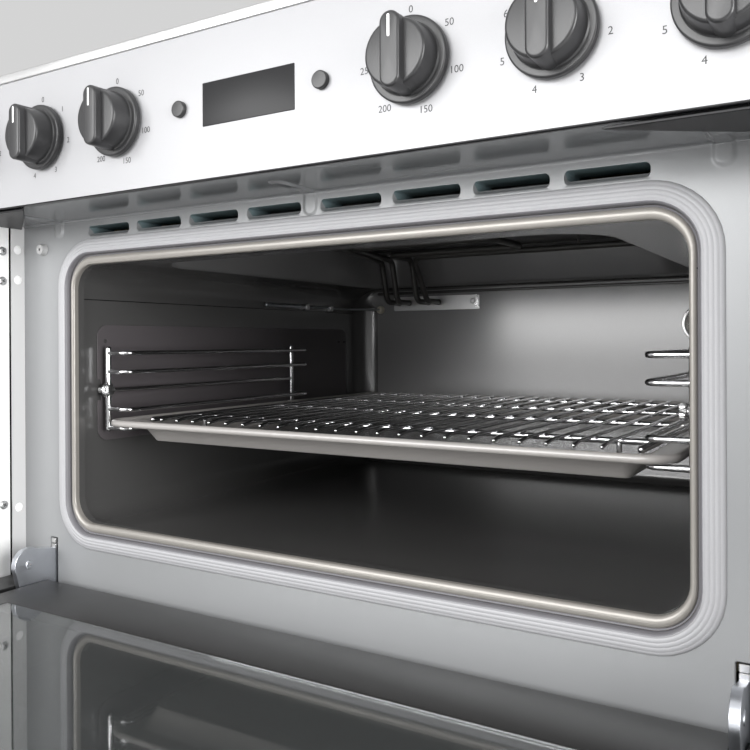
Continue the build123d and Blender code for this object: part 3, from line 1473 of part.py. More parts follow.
# Cooling fan behind the top oven: drum rotor in a scroll housing on the rear panel
drum_radius = 28.0
drum_half_length = 95.0
drum_depth = 506.0
drum_height = 640.0
drum_vanes = 20
vane_depth = 7.0
vane_gap = 0.6
vane_sheet = 0.8
vane_angle = 35.0
drum_disc = 2.0
end_plate = 1.5
housing_gap = 3.0
housing_wall = 2.0
housing_lug = 3.0
housing_spare = 6.0
drum_shaft_radius = 3.0
housing_half_length = drum_half_length + housing_spare
housing_radius = drum_radius + housing_gap
with BuildPart() as cooling_fan_rotor:
    for disc_x in (-drum_half_length, -drum_disc / 2, drum_half_length - drum_disc):
        with BuildSketch(sideways(disc_x)):
            with Locations((drum_depth, drum_height)):
                Circle(drum_radius)
        extrude(amount=drum_disc)
    with BuildSketch(sideways(-drum_half_length)):
        with Locations((drum_depth, drum_height)):
            with PolarLocations(drum_radius - vane_depth / 2, drum_vanes):
                Rectangle(vane_depth - vane_gap, vane_sheet, rotation=vane_angle)
    extrude(amount=2 * drum_half_length)
    with BuildSketch(sideways(-housing_half_length - end_plate)):
        with Locations((drum_depth, drum_height)):
            Circle(drum_shaft_radius)
    extrude(amount=2 * (housing_half_length + end_plate))
cooling_fan_rotor.part.label = "cooling_fan_rotor"
export_step(cooling_fan_rotor.part, "parts/cooling_fan_rotor.step")

housing_rear = body_depth - sheet
housing_reach = housing_rear - drum_depth
housing_mid = (drum_depth + housing_rear) / 2
with BuildPart() as cooling_fan_housing:
    for plate_x in (-housing_half_length - end_plate, housing_half_length):
        with BuildSketch(sideways(plate_x)):
            with Locations((drum_depth, drum_height)):
                Circle(housing_radius + housing_lug)
            with Locations((housing_mid, drum_height)):
                Rectangle(housing_reach, 2 * (housing_radius + housing_lug))
            with Locations((drum_depth, drum_height)):
                Circle(drum_shaft_radius + running_gap, mode=Mode.SUBTRACT)
        extrude(amount=end_plate)
    with BuildSketch(sideways(-housing_half_length)):
        with Locations((drum_depth, drum_height)):
            Circle(housing_radius + housing_wall)
        for wall_side in (-1, 1):
            with Locations((housing_mid, drum_height + wall_side * (housing_radius + housing_wall / 2))):
                Rectangle(housing_reach, housing_wall)
        with Locations((drum_depth, drum_height)):
            Circle(housing_radius, mode=Mode.SUBTRACT)
        with Locations((drum_depth + housing_radius, drum_height)):
            Rectangle(2 * housing_radius, 2 * housing_radius, mode=Mode.SUBTRACT)
    extrude(amount=2 * housing_half_length)
cooling_fan_housing.part.label = "cooling_fan_housing"
export_step(cooling_fan_housing.part, "parts/cooling_fan_housing.step")

# Mains terminal block on the rear panel, with an open cable gland and no cord
terminal_half_width = 38.0
terminal_half_height = 28.0
terminal_depth = 26.0
terminal_corner = 4.0
cable_radius = 8.0
with BuildPart() as terminal_block:
    with BuildSketch(facing(body_depth - sheet)):
        with Locations((inlet_x, inlet_height)):
            RectangleRounded(2 * terminal_half_width, 2 * terminal_half_height, terminal_corner)
    extrude(amount=terminal_depth)
    with BuildSketch(facing(body_depth)):
        with Locations((inlet_x, inlet_height)):
            Circle(gland_radius)
    extrude(amount=sheet)
    with BuildSketch(facing(body_depth)):
        with Locations((inlet_x, inlet_height)):
            Circle(cable_radius)
    extrude(amount=terminal_depth + sheet, mode=Mode.SUBTRACT)
terminal_block.part.label = "terminal_block"
export_step(terminal_block.part, "parts/terminal_block.step")

# Pan-head screws on the posts
screw_head_slope = 18.0
screw_length = 7.0
with BuildPart() as frame_screws:
    for side in (-1, 1):
        for height in post_screw_heights:
            with BuildSketch(sideways(side * post_face)):
                with Locations((post_screw_depth, height)):
                    Circle(screw_head_radius)
            extrude(amount=-side * screw_head_height, taper=screw_head_slope)
            with BuildSketch(sideways(side * post_face)):
                with Locations((post_screw_depth, height)):
                    Circle(screw_shank_radius)
            extrude(amount=side * screw_length)
frame_screws.part.label = "frame_screws"
export_step(frame_screws.part, "parts/frame_screws.step")
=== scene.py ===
"""Looks of the electric cooker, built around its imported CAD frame.

Shapes are worked out in millimetres: x across, depth back from the front frame's face, z up.
They become metres in the row frame when a piece's mesh is made.
"""
import json
import logging
import math
from dataclasses import dataclass
from enum import Enum

import bmesh
import bpy
import numpy as np
from mathutils import Matrix, Vector

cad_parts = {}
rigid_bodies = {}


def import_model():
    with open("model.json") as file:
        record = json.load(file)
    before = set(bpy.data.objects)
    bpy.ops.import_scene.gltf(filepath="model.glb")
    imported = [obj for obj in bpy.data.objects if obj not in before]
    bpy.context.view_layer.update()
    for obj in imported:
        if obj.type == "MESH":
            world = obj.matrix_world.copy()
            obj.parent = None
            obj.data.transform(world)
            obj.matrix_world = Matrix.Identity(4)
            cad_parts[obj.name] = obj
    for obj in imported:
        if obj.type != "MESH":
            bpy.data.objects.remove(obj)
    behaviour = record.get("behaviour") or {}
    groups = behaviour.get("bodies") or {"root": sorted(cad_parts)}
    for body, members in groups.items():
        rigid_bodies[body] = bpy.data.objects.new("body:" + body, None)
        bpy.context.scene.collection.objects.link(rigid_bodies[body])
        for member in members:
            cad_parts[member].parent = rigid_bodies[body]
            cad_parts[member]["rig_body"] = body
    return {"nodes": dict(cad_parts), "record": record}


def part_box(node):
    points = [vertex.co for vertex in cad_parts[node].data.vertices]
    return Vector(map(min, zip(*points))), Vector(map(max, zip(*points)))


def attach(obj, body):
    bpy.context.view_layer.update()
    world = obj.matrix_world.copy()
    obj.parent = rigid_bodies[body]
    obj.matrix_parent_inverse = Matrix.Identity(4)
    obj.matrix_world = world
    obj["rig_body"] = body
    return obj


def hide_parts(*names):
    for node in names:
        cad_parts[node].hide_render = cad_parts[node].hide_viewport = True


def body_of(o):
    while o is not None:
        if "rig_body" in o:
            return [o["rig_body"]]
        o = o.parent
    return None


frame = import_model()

Array = np.ndarray
Colour = tuple[float, float, float]
Pair = tuple[float, float]
Point = tuple[float, float, float]

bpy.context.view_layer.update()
MILLIMETRE = 0.001
BODY_DEPTH = 550.0
BODY_TOP = 900.0
FRONT_Y = round(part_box("rear_panel")[1][1] / MILLIMETRE - BODY_DEPTH, 2)
FORWARD: Point = (0.0, -1.0, 0.0)
OBLIQUE: Point = (0.53, 0.59, 0.61)
BACKDROP = (0.66, 0.66, 0.66, 1.0)
FIXED = "cooker_body"
ENAMELS = ["dark_enamel", "painted_light_enamel"]
HOLE_MARGIN = 1.0
WELD = 0.000004
CREASE = 32.0
EDGE_ANGLE = 40.0
FLAT_ANGLE = 1.0
FLAKE_SCALE = 2600.0
TOP_SEAM = 742.0
PRINT_PROUD = 0.1
MARK_SIZE = 5.2

log = logging.getLogger("cooker")


def node_box(node: str) -> tuple[Array, Array]:
    """Lowest and highest corner of a CAD node as x, depth and z in millimetres."""
    low, high = (np.array(corner) / MILLIMETRE - (0.0, FRONT_Y, 0.0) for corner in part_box(node))
    return low, high


class Tree:
    """Adds nodes to a shader tree and joins them."""

    def __init__(self, tree: bpy.types.NodeTree) -> None:
        """Keeps the tree that the nodes go into."""
        self.tree = tree

    def feed(self, socket: bpy.types.NodeSocket, value: object) -> None:
        """Links a socket to an input, or sets the input's own value."""
        if isinstance(value, bpy.types.NodeSocket):
            self.tree.links.new(value, socket)
        else:
            socket.default_value = value

    def node(self, kind: str, inputs: dict | None = None, **settings: object) -> bpy.types.Node:
        """Adds one node.

        Args:
            kind: the node's type without its ShaderNode prefix.
            inputs: socket name or number to its value, or to the socket that feeds it.
            settings: the node's own attributes.
        Returns:
            The new node.
        """
        made = self.tree.nodes.new("ShaderNode" + kind)
        for key, value in settings.items():
            setattr(made, key, value)
        for key, value in (inputs or {}).items():
            self.feed(made.inputs[key], value)
        return made

    def math(self, operation: str, *values: object) -> bpy.types.NodeSocket:
        """Joins up to three numbers or sockets with one operation and returns its result."""
        return self.node("Math", dict(enumerate(values)), operation=operation).outputs[0]

    def ramp(self, value: object, low: float, high: float) -> bpy.types.NodeSocket:
        """Maps low to 0 and high to 1 with smooth ends and returns the result."""
        inputs = {"Value": value, "From Min": low, "From Max": high}
        return self.node("MapRange", inputs, interpolation_type="SMOOTHSTEP").outputs["Result"]

    def mix(self, share: object, first: object, second: object) -> bpy.types.NodeSocket:
        """Mixes two colours.

        Args:
            share: part of the second colour, or the socket that feeds it.
            first: colour at share 0.
            second: colour at share 1.
        Returns:
            The colour's socket.
        """
        made = self.node("Mix", data_type="RGBA")
        sockets = [s for s in made.inputs if s.enabled and s.name in ("Factor", "A", "B")]
        for socket, value in zip(sockets, (share, first, second)):
            self.feed(socket, value)
        return next(s for s in made.outputs if s.enabled)


class Effect:
    """Shader node group that several finishes share."""

    def __init__(self, name: str, inputs: dict[str, object], output: str, kind: str) -> None:
        """Makes the group's sockets.

        Args:
            name: name of the group.
            inputs: socket name to its plain value; three numbers are a vector and four a colour.
            output: name of its one output.
            kind: the output's type, Float or Color.
        """
        self.group = bpy.data.node_groups.new(name, "ShaderNodeTree")
        self.tree = Tree(self.group)
        self.output = output
        for label, value in inputs.items():
            kinds = {3: "Vector", 4: "Color"}
            socket_kind = kinds[len(value)] if isinstance(value, tuple) else "Float"
            socket = self.group.interface.new_socket(name=label, in_out="INPUT",
                                                     socket_type="NodeSocket" + socket_kind)
            socket.default_value = value
        self.group.interface.new_socket(name=output, in_out="OUTPUT", socket_type="NodeSocket" + kind)
        self.given = self.group.nodes.new("NodeGroupInput").outputs
        self.result = self.group.nodes.new("NodeGroupOutput").inputs

    def put(self, socket: bpy.types.NodeSocket) -> None:
        """Feeds the group's output."""
        self.group.links.new(socket, self.result[self.output])

    def use(self, tree: Tree, inputs: dict[str, object]) -> bpy.types.NodeSocket:
        """Places the group in a material's tree with its own values.

        Args:
            tree: the material's tree.
            inputs: socket name to its value, or to the socket that feeds it.
        Returns:
            The group's output.
        """
        made = tree.tree.nodes.new("ShaderNodeGroup")
        made.node_tree = self.group
        for key, value in inputs.items():
            tree.feed(made.inputs[key], value)
        return made.outputs[self.output]


def make_tone() -> Effect:
    """Tone drift: slow noise darkens and lightens the colour, fine noise adds the sparkle of flakes.

    Returns:
        The node group.
    """
    effect = Effect("tone_drift", {"Vector": (0.0, 0.0, 0.0), "Colour": (0.5, 0.5, 0.5, 1.0), "Scale": 8.0,
                                   "Drift": 0.1, "Flake": 0.05}, "Colour", "Color")
    tree, given = effect.tree, effect.given
    slow = tree.node("TexNoise", {"Vector": given["Vector"], "Scale": given["Scale"], "Detail": 4.0})
    fine = tree.node("TexNoise", {"Vector": given["Vector"], "Scale": FLAKE_SCALE, "Detail": 1.0})
    swing = tree.math("MULTIPLY", tree.math("SUBTRACT", slow.outputs["Fac"], 0.5), given["Drift"])
    sparkle = tree.math("MULTIPLY", tree.math("SUBTRACT", fine.outputs["Fac"], 0.5), given["Flake"])
    gain = tree.math("MULTIPLY_ADD", tree.math("ADD", swing, sparkle), 2.0, 1.0)
    scaled = tree.node("VectorMath", {0: given["Colour"], "Scale": gain}, operation="SCALE")
    effect.put(scaled.outputs["Vector"])
    return effect


def make_smear() -> Effect:
    """Smears: distorted noise lets the roughness wander, as wiping leaves it.

    Returns:
        The node group.
    """
    effect = Effect("smears", {"Vector": (0.0, 0.0, 0.0), "Roughness": 0.3, "Spread": 0.1, "Scale": 14.0},
                    "Roughness", "Float")
    tree, given = effect.tree, effect.given
    noise = tree.node("TexNoise", {"Vector": given["Vector"], "Scale": given["Scale"], "Detail": 5.0,
                                   "Distortion": 0.6})
    swing = tree.math("MULTIPLY", tree.math("SUBTRACT", noise.outputs["Fac"], 0.5), given["Spread"])
    effect.put(tree.math("MULTIPLY_ADD", swing, 2.0, given["Roughness"]))
    return effect


def make_grain() -> Effect:
    """Grain: noise on a stretched coordinate is the height of orange peel, brushing or cast skin.

    Returns:
        The node group.
    """
    effect = Effect("grain", {"Vector": (0.0, 0.0, 0.0), "Stretch": (1.0, 1.0, 1.0), "Scale": 600.0},
                    "Height", "Float")
    tree, given = effect.tree, effect.given
    drawn = tree.node("VectorMath", {0: given["Vector"], 1: given["Stretch"]}, operation="MULTIPLY")
    noise = tree.node("TexNoise", {"Vector": drawn.outputs["Vector"], "Scale": given["Scale"],
                                   "Detail": 2.0})
    effect.put(noise.outputs["Fac"])
    return effect


def make_fleck() -> Effect:
    """Flecks: some cells show a small spot of a second colour at their centre.

    Returns:
        The node group.
    """
    effect = Effect("flecks", {"Vector": (0.0, 0.0, 0.0), "Colour": (0.5, 0.5, 0.5, 1.0),
                               "Spot": (0.8, 0.8, 0.8, 1.0), "Scale": 500.0, "Amount": 0.2},
                    "Colour", "Color")
    tree, given = effect.tree, effect.given
    cells = tree.node("TexVoronoi", {"Vector": given["Vector"], "Scale": given["Scale"]})
    chosen = tree.node("SeparateColor", {0: cells.outputs["Color"]}).outputs[0]
    near = tree.ramp(cells.outputs["Distance"], 0.38, 0.12)
    kept = tree.ramp(chosen, 0.62, 0.95)
    share = tree.math("MULTIPLY", tree.math("MULTIPLY", near, kept), given["Amount"])
    effect.put(tree.mix(share, given["Colour"], given["Spot"]))
    return effect


TONE, SMEAR, GRAIN, FLECK = make_tone(), make_smear(), make_grain(), make_fleck()


class Grain(Enum):
    """Stretch of the surface relief along x, y and z."""

    EVEN = (1.0, 1.0, 1.0)
    ALONG_X = (0.02, 1.0, 1.0)
    ALONG_Z = (1.0, 1.0, 0.02)


@dataclass(frozen=True)
class Finish:
    """One finish: its shader's plain values and what its patterns do."""

    name: str
    colour: Colour
    rough: float
    slot: str = ""
    metal: float = 0.0
    drift: float = 0.05
    drift_scale: float = 7.0
    flake: float = 0.02
    spread: float = 0.05
    grain: Grain = Grain.EVEN
    grain_scale: float = 500.0
    grain_depth: float = 0.00001
    fleck: float = 0.0
    fleck_scale: float = 700.0
    spot: Colour = (0.6, 0.6, 0.6)
    coat: float = 0.0
    coat_rough: float = 0.06
    gloss: float = 0.5
    clear: float = 0.0

    def paint(self, tree: Tree, place: bpy.types.NodeSocket, colour: object) -> object:
        """Draws what is printed on this finish; a plain finish returns the colour as it came."""
        return colour

    def material(self) -> bpy.types.Material:
        """Builds the finish's material from the shared effects.

        Returns:
            The material.
        """
        made = bpy.data.materials.new(self.name)
        made.use_nodes = True
        tree = Tree(made.node_tree)
        shader = made.node_tree.nodes["Principled BSDF"].inputs
        place = tree.node("TexCoord").outputs["Object"]
        colour = TONE.use(tree, {"Vector": place, "Colour": (*self.colour, 1.0), "Scale": self.drift_scale,
                                 "Drift": self.drift, "Flake": self.flake})
        if self.fleck:
            colour = FLECK.use(tree, {"Vector": place, "Colour": colour, "Spot": (*self.spot, 1.0),
                                      "Scale": self.fleck_scale, "Amount": self.fleck})
        tree.feed(shader["Base Color"], self.paint(tree, place, colour))
        tree.feed(shader["Roughness"], SMEAR.use(tree, {"Vector": place, "Roughness": self.rough,
                                                        "Spread": self.spread}))
        height = GRAIN.use(tree, {"Vector": place, "Stretch": self.grain.value, "Scale": self.grain_scale})
        bump = tree.node("Bump", {"Height": height, "Strength": 1.0, "Distance": self.grain_depth})
        tree.feed(shader["Normal"], bump.outputs["Normal"])
        for label, value in (("Metallic", self.metal), ("Coat Weight", self.coat),
                             ("Coat Roughness", self.coat_rough), ("Specular IOR Level", self.gloss),
                             ("Transmission Weight", self.clear)):
            shader[label].default_value = value
        return made


@dataclass(frozen=True)
class ZonePrint(Finish):
    """Hob glass with two printed rings round each cooking zone."""

    zones: tuple[Point, ...] = ((-140, 110, 90), (140, 110, 72.5), (-140, 385, 72.5), (140, 385, 90))
    ring_gap: float = 3.5
    ring_half_width: float = 0.7
    ink: Colour = (0.42, 0.42, 0.42)

    def paint(self, tree: Tree, place: bpy.types.NodeSocket, colour: object) -> object:
        """Mixes in the ink where the distance to a zone's centre is a ring's radius."""
        for across, depth, radius in self.zones:
            centre = Vector((across, depth + FRONT_Y, BODY_TOP)) * MILLIMETRE
            gap = tree.node("VectorMath", {0: place, 1: centre}, operation="DISTANCE").outputs["Value"]
            for ring in (radius, radius - self.ring_gap):
                inked = tree.math("COMPARE", gap, ring * MILLIMETRE, self.ring_half_width * MILLIMETRE)
                colour = tree.mix(inked, colour, (*self.ink, 1.0))
        return colour


FINISHES: dict[str, Finish] = {f.name: f for f in (
    Finish("frame_paint", (0.25, 0.255, 0.26), 0.33, metal=0.15, flake=0.05, spread=0.02, grain_scale=300.0),
    # Glossier, darker copy of the frame paint: the darker colour is painted shade on the overhang's downward
    # face.
    Finish("overhang_gloss_painted_shade", (0.20, 0.205, 0.21), 0.13, slot="frame_paint", metal=0.2, spread=0.02,
           grain_scale=300.0),
    Finish("white_paint", (0.87, 0.87, 0.865), 0.33, drift=0.008, spread=0.02, flake=0.01, coat=0.3,
           grain_scale=260.0),
    Finish("zinc_sheet", (0.60, 0.61, 0.62), 0.42, metal=1.0, drift=0.12, drift_scale=60.0, spread=0.1,
           fleck=0.35, fleck_scale=90.0, spot=(0.72, 0.73, 0.74)),
    Finish("dark_enamel", (0.070, 0.069, 0.068), 0.24, spread=0.015, gloss=1.0, coat=0.6, coat_rough=0.16,
           flake=0.1, grain_scale=420.0, grain_depth=0.00003, fleck=0.10, fleck_scale=900.0,
           spot=(0.35, 0.36, 0.35)),
    Finish("pan_enamel", (0.31, 0.295, 0.282), 0.34, gloss=0.8, coat=0.4, coat_rough=0.2, flake=0.08,
           grain_scale=480.0, grain_depth=0.00002, fleck=0.12, fleck_scale=1100.0, spot=(0.5, 0.48, 0.45)),
    # Lighter copy of the dark enamel: painted light on the rear walls and the ceiling's margin and slope.
    Finish("painted_light_enamel", (0.18, 0.178, 0.178), 0.24, spread=0.015, slot="dark_enamel", gloss=1.0, coat=0.6,
           coat_rough=0.16, flake=0.1, grain_scale=900.0),
    Finish("liner_grey", (0.082, 0.074, 0.078), 0.45, flake=0.05, grain_scale=900.0, grain_depth=0.00002),
    Finish("black_paint", (0.012, 0.012, 0.012), 0.35, gloss=0.6),
    Finish("seal_grey", (0.35, 0.35, 0.362), 0.5, flake=0.08, grain_scale=1500.0, grain_depth=0.00003),
    # Darker copy of the seal's finish: painted shade on the seal's inner flank and in the groove.
    Finish("seal_painted_shade", (0.15, 0.147, 0.158), 0.5, slot="seal_grey", flake=0.08, grain_scale=1500.0),
    Finish("buffer_rubber", (0.36, 0.36, 0.36), 0.6, flake=0.05, grain_scale=1200.0),
    Finish("chrome_wire", (0.68, 0.68, 0.69), 0.17, metal=1.0, drift=0.03, spread=0.06, grain_scale=900.0,
           grain_depth=0.000005),
    Finish("element_sheath", (0.085, 0.083, 0.078), 0.42, metal=0.5, drift=0.3, drift_scale=40.0,
           spread=0.15, grain_scale=1500.0, grain_depth=0.00002),
    Finish("hinge_steel", (0.58, 0.60, 0.64), 0.34, metal=1.0, drift=0.12, drift_scale=60.0, spread=0.12,
           grain_scale=900.0, grain_depth=0.00002),
    Finish("screw_steel", (0.66, 0.66, 0.66), 0.28, metal=1.0, drift=0.1, drift_scale=80.0, spread=0.1,
           grain_scale=1200.0),
    Finish("black_glass", (0.006, 0.006, 0.007), 0.04, gloss=0.6, drift=0.0, flake=0.0, spread=0.02,
           grain_scale=6.0, grain_depth=0.00001),
    ZonePrint("hob_ceramic", (0.008, 0.008, 0.009), 0.08, gloss=0.6, spread=0.03, fleck=0.25,
              fleck_scale=260.0, spot=(0.12, 0.12, 0.12), grain_scale=40.0, grain_depth=0.000003),
    Finish("window_glass", (0.35, 0.37, 0.37), 0.03, clear=0.9, drift=0.0, flake=0.0, spread=0.01,
           grain_scale=6.0, grain_depth=0.000005),
    Finish("lamp_glass", (0.95, 0.94, 0.9), 0.12, clear=0.9, drift=0.0, flake=0.0, grain_scale=260.0,
           grain_depth=0.0003),
    Finish("handle_metal", (0.66, 0.66, 0.66), 0.3, metal=1.0, grain=Grain.ALONG_X, grain_scale=1600.0,
           grain_depth=0.00001, spread=0.08),
    Finish("fascia_silver", (0.35, 0.35, 0.36), 0.4, metal=0.2, flake=0.04, grain_scale=300.0),
    Finish("cap_plastic", (0.012, 0.012, 0.013), 0.4, gloss=0.25, grain_scale=300.0),
    Finish("knob_plastic", (0.022, 0.022, 0.023), 0.34, grain_scale=1800.0, grain_depth=0.00002),
    Finish("switch_body", (0.62, 0.58, 0.48), 0.5),
    Finish("heater_ceramic", (0.70, 0.66, 0.58), 0.8, grain_scale=700.0, grain_depth=0.0002),
    Finish("mineral_wool", (0.60, 0.52, 0.34), 0.9, drift=0.3, drift_scale=30.0, grain_scale=240.0,
           grain_depth=0.001),
    Finish("fan_steel", (0.55, 0.55, 0.55), 0.35, metal=1.0, drift=0.1, drift_scale=40.0),
    Finish("motor_steel", (0.30, 0.30, 0.31), 0.5, metal=0.9, grain=Grain.ALONG_X, grain_scale=900.0,
           grain_depth=0.00008),
    Finish("lip_enamel", (0.27, 0.255, 0.235), 0.33, spread=0.02, slot="frame_paint", metal=0.25,
           drift_scale=30.0),
    # Teal brightened beyond its black slot: painted light inside the vent ducts, where little light reaches.
    Finish("duct_teal_painted_light", (0.13, 0.18, 0.19), 0.35, slot="black_paint"),
    # Black for the fascia's lower edge, and painted shade in the post joints and the cavity wall seam.
    Finish("edge_black_and_painted_shade", (0.008, 0.008, 0.009), 0.25, slot="cap_plastic"),
    # Darker grey for the bars drawn as the screws' cross recesses: painted shade.
    Finish("screw_recess_painted_shade", (0.16, 0.16, 0.16), 0.4, slot="screw_steel", metal=0.8),
    Finish("side_grey", (0.29, 0.29, 0.295), 0.45, slot="white_paint", gloss=0.3, drift=0.01, spread=0.02,
           flake=0.02, grain_scale=260.0),
    # Lighter copy of the frame paint for the side flanges: painted light on the faces turned to the lamp.
    Finish("flange_painted_light", (0.55, 0.55, 0.55), 0.34, spread=0.02, slot="frame_paint"),
    # White for the discs behind the post holes: painted light standing in for the lit inside seen through
    # them.
    Finish("hole_light_white", (0.85, 0.85, 0.85), 0.3, slot="white_paint"),
    Finish("print_ink", (0.03, 0.03, 0.03), 0.5, slot="knob_plastic"),
    Finish("pointer_white", (0.85, 0.85, 0.85), 0.4, slot="knob_plastic"),
)}
MATERIALS: dict[str, bpy.types.Material] = {name: finish.material() for name, finish in FINISHES.items()}
NODE_SLOTS: dict[str, str] = {part["node"]: part["material_slot"] for part in frame["record"]["subparts"]}


@dataclass(frozen=True)
class Loop:
    """Rounded rectangle that always has the same number of points, whatever its size.

    Each corner is an arc round its own centre, point = centre + radius * (cos a, sin a), and the sides are
    divided evenly, so any two loops can be joined point by point.
    """

    centre: Pair
    half: Pair
    radius: float
    corner_steps: int = 10
    side_steps: int = 16

    @classmethod
    def between(cls, low: Pair, high: Pair, radius: float, side_steps: int = 16) -> "Loop":
        """Loop from its lowest to its highest corner."""
        centre = ((low[0] + high[0]) / 2, (low[1] + high[1]) / 2)
        return cls(centre, ((high[0] - low[0]) / 2, (high[1] - low[1]) / 2), radius, side_steps=side_steps)

    def points(self, offset: float = 0.0) -> Array:
        """Works out the outline.

        Args:
            offset: how far the outline is moved outwards along its normals.
        Returns:
            Its points as an (n, 2) array.
        """
        turn = np.radians(90.0 * np.arange(4)[:, None] + np.linspace(0.0, 90.0, self.corner_steps + 1))
        normals = np.stack([np.cos(turn), np.sin(turn)], -1)
        signs = np.array([(1, 1), (-1, 1), (-1, -1), (1, -1)], float)
        centres = np.array(self.centre) + signs * (np.array(self.half) - self.radius)
        arcs = centres[:, None, :] + (self.radius + offset) * normals
        share = np.arange(1, self.side_steps)[None, :, None] / self.side_steps
        sides = arcs[:, -1:, :] * (1 - share) + np.roll(arcs, -1, 0)[:, :1, :] * share
        return np.concatenate([arcs, sides], 1).reshape(-1, 2)

    def square(self, margin: float = 0.0) -> "Loop":
        """Square-cornered loop round this one."""
        half = (self.half[0] + margin, self.half[1] + margin)
        return Loop(self.centre, half, 0.0, self.corner_steps, self.side_steps)


class Place(Enum):
    """Plane that a flat outline lies in."""

    FRONT = (0, 2, 1)
    LEVEL = (0, 1, 2)
    SIDE = (1, 2, 0)

    def put(self, outline: Array, rest: float | Array) -> Array:
        """Gives each point of an outline its third coordinate, the depth, height or x of the plane.

        Args:
            outline: (..., 2) points.
            rest: the plane's own coordinate, for all points or each.
        Returns:
            (..., 3) points.
        """
        placed = np.empty((*outline.shape[:-1], 3))
        first, second, third = self.value
        placed[..., first], placed[..., second] = outline[..., 0], outline[..., 1]
        placed[..., third] = rest
        return placed


def spaced(breaks: list[float], step: float, fine: tuple[Pair, ...] = (), fine_step: float = 0.8) -> Array:
    """Numbers from the lowest break to the highest.

    Args:
        breaks: numbers that are always among them.
        step: largest gap between two.
        fine: ranges that are divided more finely.
        fine_step: largest gap within these.
    Returns:
        The numbers in rising order.
    """
    marks = sorted({*breaks, *(end for pair in fine for end in pair)})
    parts = [np.linspace(a, b, max(1, math.ceil((b - a) / step)), endpoint=False)
             for a, b in zip(marks, marks[1:])]
    parts += [np.linspace(low, high, math.ceil((high - low) / fine_step) + 1) for low, high in fine]
    return np.unique(np.concatenate([*parts, marks[-1:]]).round(3))


def smooth(value: Array) -> Array:
    """Smooth step: 0 below 0, 1 above 1, and 3v^2 - 2v^3 between."""
    v = np.clip(value, 0.0, 1.0)
    return v * v * (3.0 - 2.0 * v)


def arc(centre: Pair, radius: float, start: float, end: float, steps: int) -> Array:
    """Points of a circle's arc, from start to end in degrees, as an (n, 2) array."""
    angle = np.radians(np.linspace(start, end, steps + 1))
    return np.array(centre) + radius * np.stack([np.cos(angle), np.sin(angle)], -1)


def bent(corners: list[Point], bend: float, steps: int = 8) -> Array:
    """Path through corners whose turns are arcs of one radius.

    The arc round a corner starts and ends at bend * tan(turn / 2) from it, and its points are a
    spherical blend of the two spokes from the arc's centre.

    Args:
        corners: points of the path.
        bend: radius of the arcs.
        steps: divisions of each arc.
    Returns:
        The path's points as an (n, 3) array.
    """
    p = np.array(corners, float)
    run = np.diff(p, axis=0)
    way = run / np.linalg.norm(run, axis=1)[:, None]
    before, after, corner = way[:-1], way[1:], p[1:-1]
    turn = np.arccos(np.clip((before * after).sum(1), -1, 1))[:, None]
    reach = bend * np.tan(turn / 2)
    inward = after - before
    inward /= np.linalg.norm(inward, axis=1)[:, None]
    centre = corner + inward * bend / np.cos(turn / 2)
    first, last = corner - before * reach - centre, corner + after * reach - centre
    share = np.linspace(0, 1, steps + 1)[None, :, None]
    angle = turn[:, None, :]
    arcs = (np.sin((1 - share) * angle) * first[:, None] + np.sin(share * angle) * last[:, None])
    arcs = centre[:, None] + arcs / np.sin(angle)
    return np.concatenate([p[:1], arcs.reshape(-1, 3), p[-1:]])


def bent_flat(corners: list[Pair], bend: float, steps: int = 6) -> Array:
    """Flat path through corners whose turns are arcs of one radius, as an (n, 2) array."""
    return bent([(a, b, 0.0) for a, b in corners], bend, steps)[:, :2]


def tube(path: Array, radius: float, sides: int = 12, dome: float = 1.0) -> Array:
    """Round wire carried along an open path, with domed ends.

    A ring stands square to the path at each point: path + radius * (cos a * across + sin a * up). The domes
    are rings that shrink as cos b while they move out as dome * sin b.

    Args:
        path: (n, 3) points.
        radius: the wire's radius.
        sides: points of each ring.
        dome: height of the domes as a share of the radius.
    Returns:
        (rings, sides, 3) points.
    """
    way = np.gradient(path, axis=0)
    way /= np.linalg.norm(way, axis=1)[:, None]
    dome_steps = 4
    tilt = np.radians(np.linspace(90, 0, dome_steps + 1))[:-1, None]
    start = path[0] - way[0] * radius * dome * np.sin(tilt)
    end = path[-1] + way[-1] * radius * dome * np.sin(tilt[::-1])
    path = np.concatenate([start, path, end])
    size = radius * np.concatenate([np.cos(tilt[:, 0]), np.ones(len(way)), np.cos(tilt[::-1, 0])])
    way = np.concatenate([np.repeat(way[:1], dome_steps, 0), way, np.repeat(way[-1:], dome_steps, 0)])
    across = np.cross(way, np.array(OBLIQUE))
    across /= np.linalg.norm(across, axis=1)[:, None]
    up = np.cross(across, way)
    angle = np.radians(np.arange(sides) * 360.0 / sides)[None, :, None]
    spoke = np.cos(angle) * across[:, None] + np.sin(angle) * up[:, None]
    return path[:, None] + size[:, None, None] * spoke


def turned(profile: Array, centre: Point, way: Point, sides: int = 48) -> Array:
    """Profile of (radius, height) pairs turned round an axis: centre + height * way + radius * spoke.

    Args:
        profile: the pairs.
        centre: point on the axis at height 0.
        way: unit vector along the axis.
        sides: points of each ring.
    Returns:
        (pairs, sides, 3) points.
    """
    axis = np.array(way, float)
    across = np.cross(axis, np.array([0.0, 0.0, 1.0]) if abs(axis[2]) < 0.9 else np.array([1.0, 0.0, 0.0]))
    across /= np.linalg.norm(across)
    up = np.cross(axis, across)
    angle = np.radians(np.arange(sides) * 360.0 / sides)[None, :, None]
    spoke = np.cos(angle) * across + np.sin(angle) * up
    heights = profile[:, 1, None, None] * axis
    return np.array(centre) + heights + profile[:, 0, None, None] * spoke


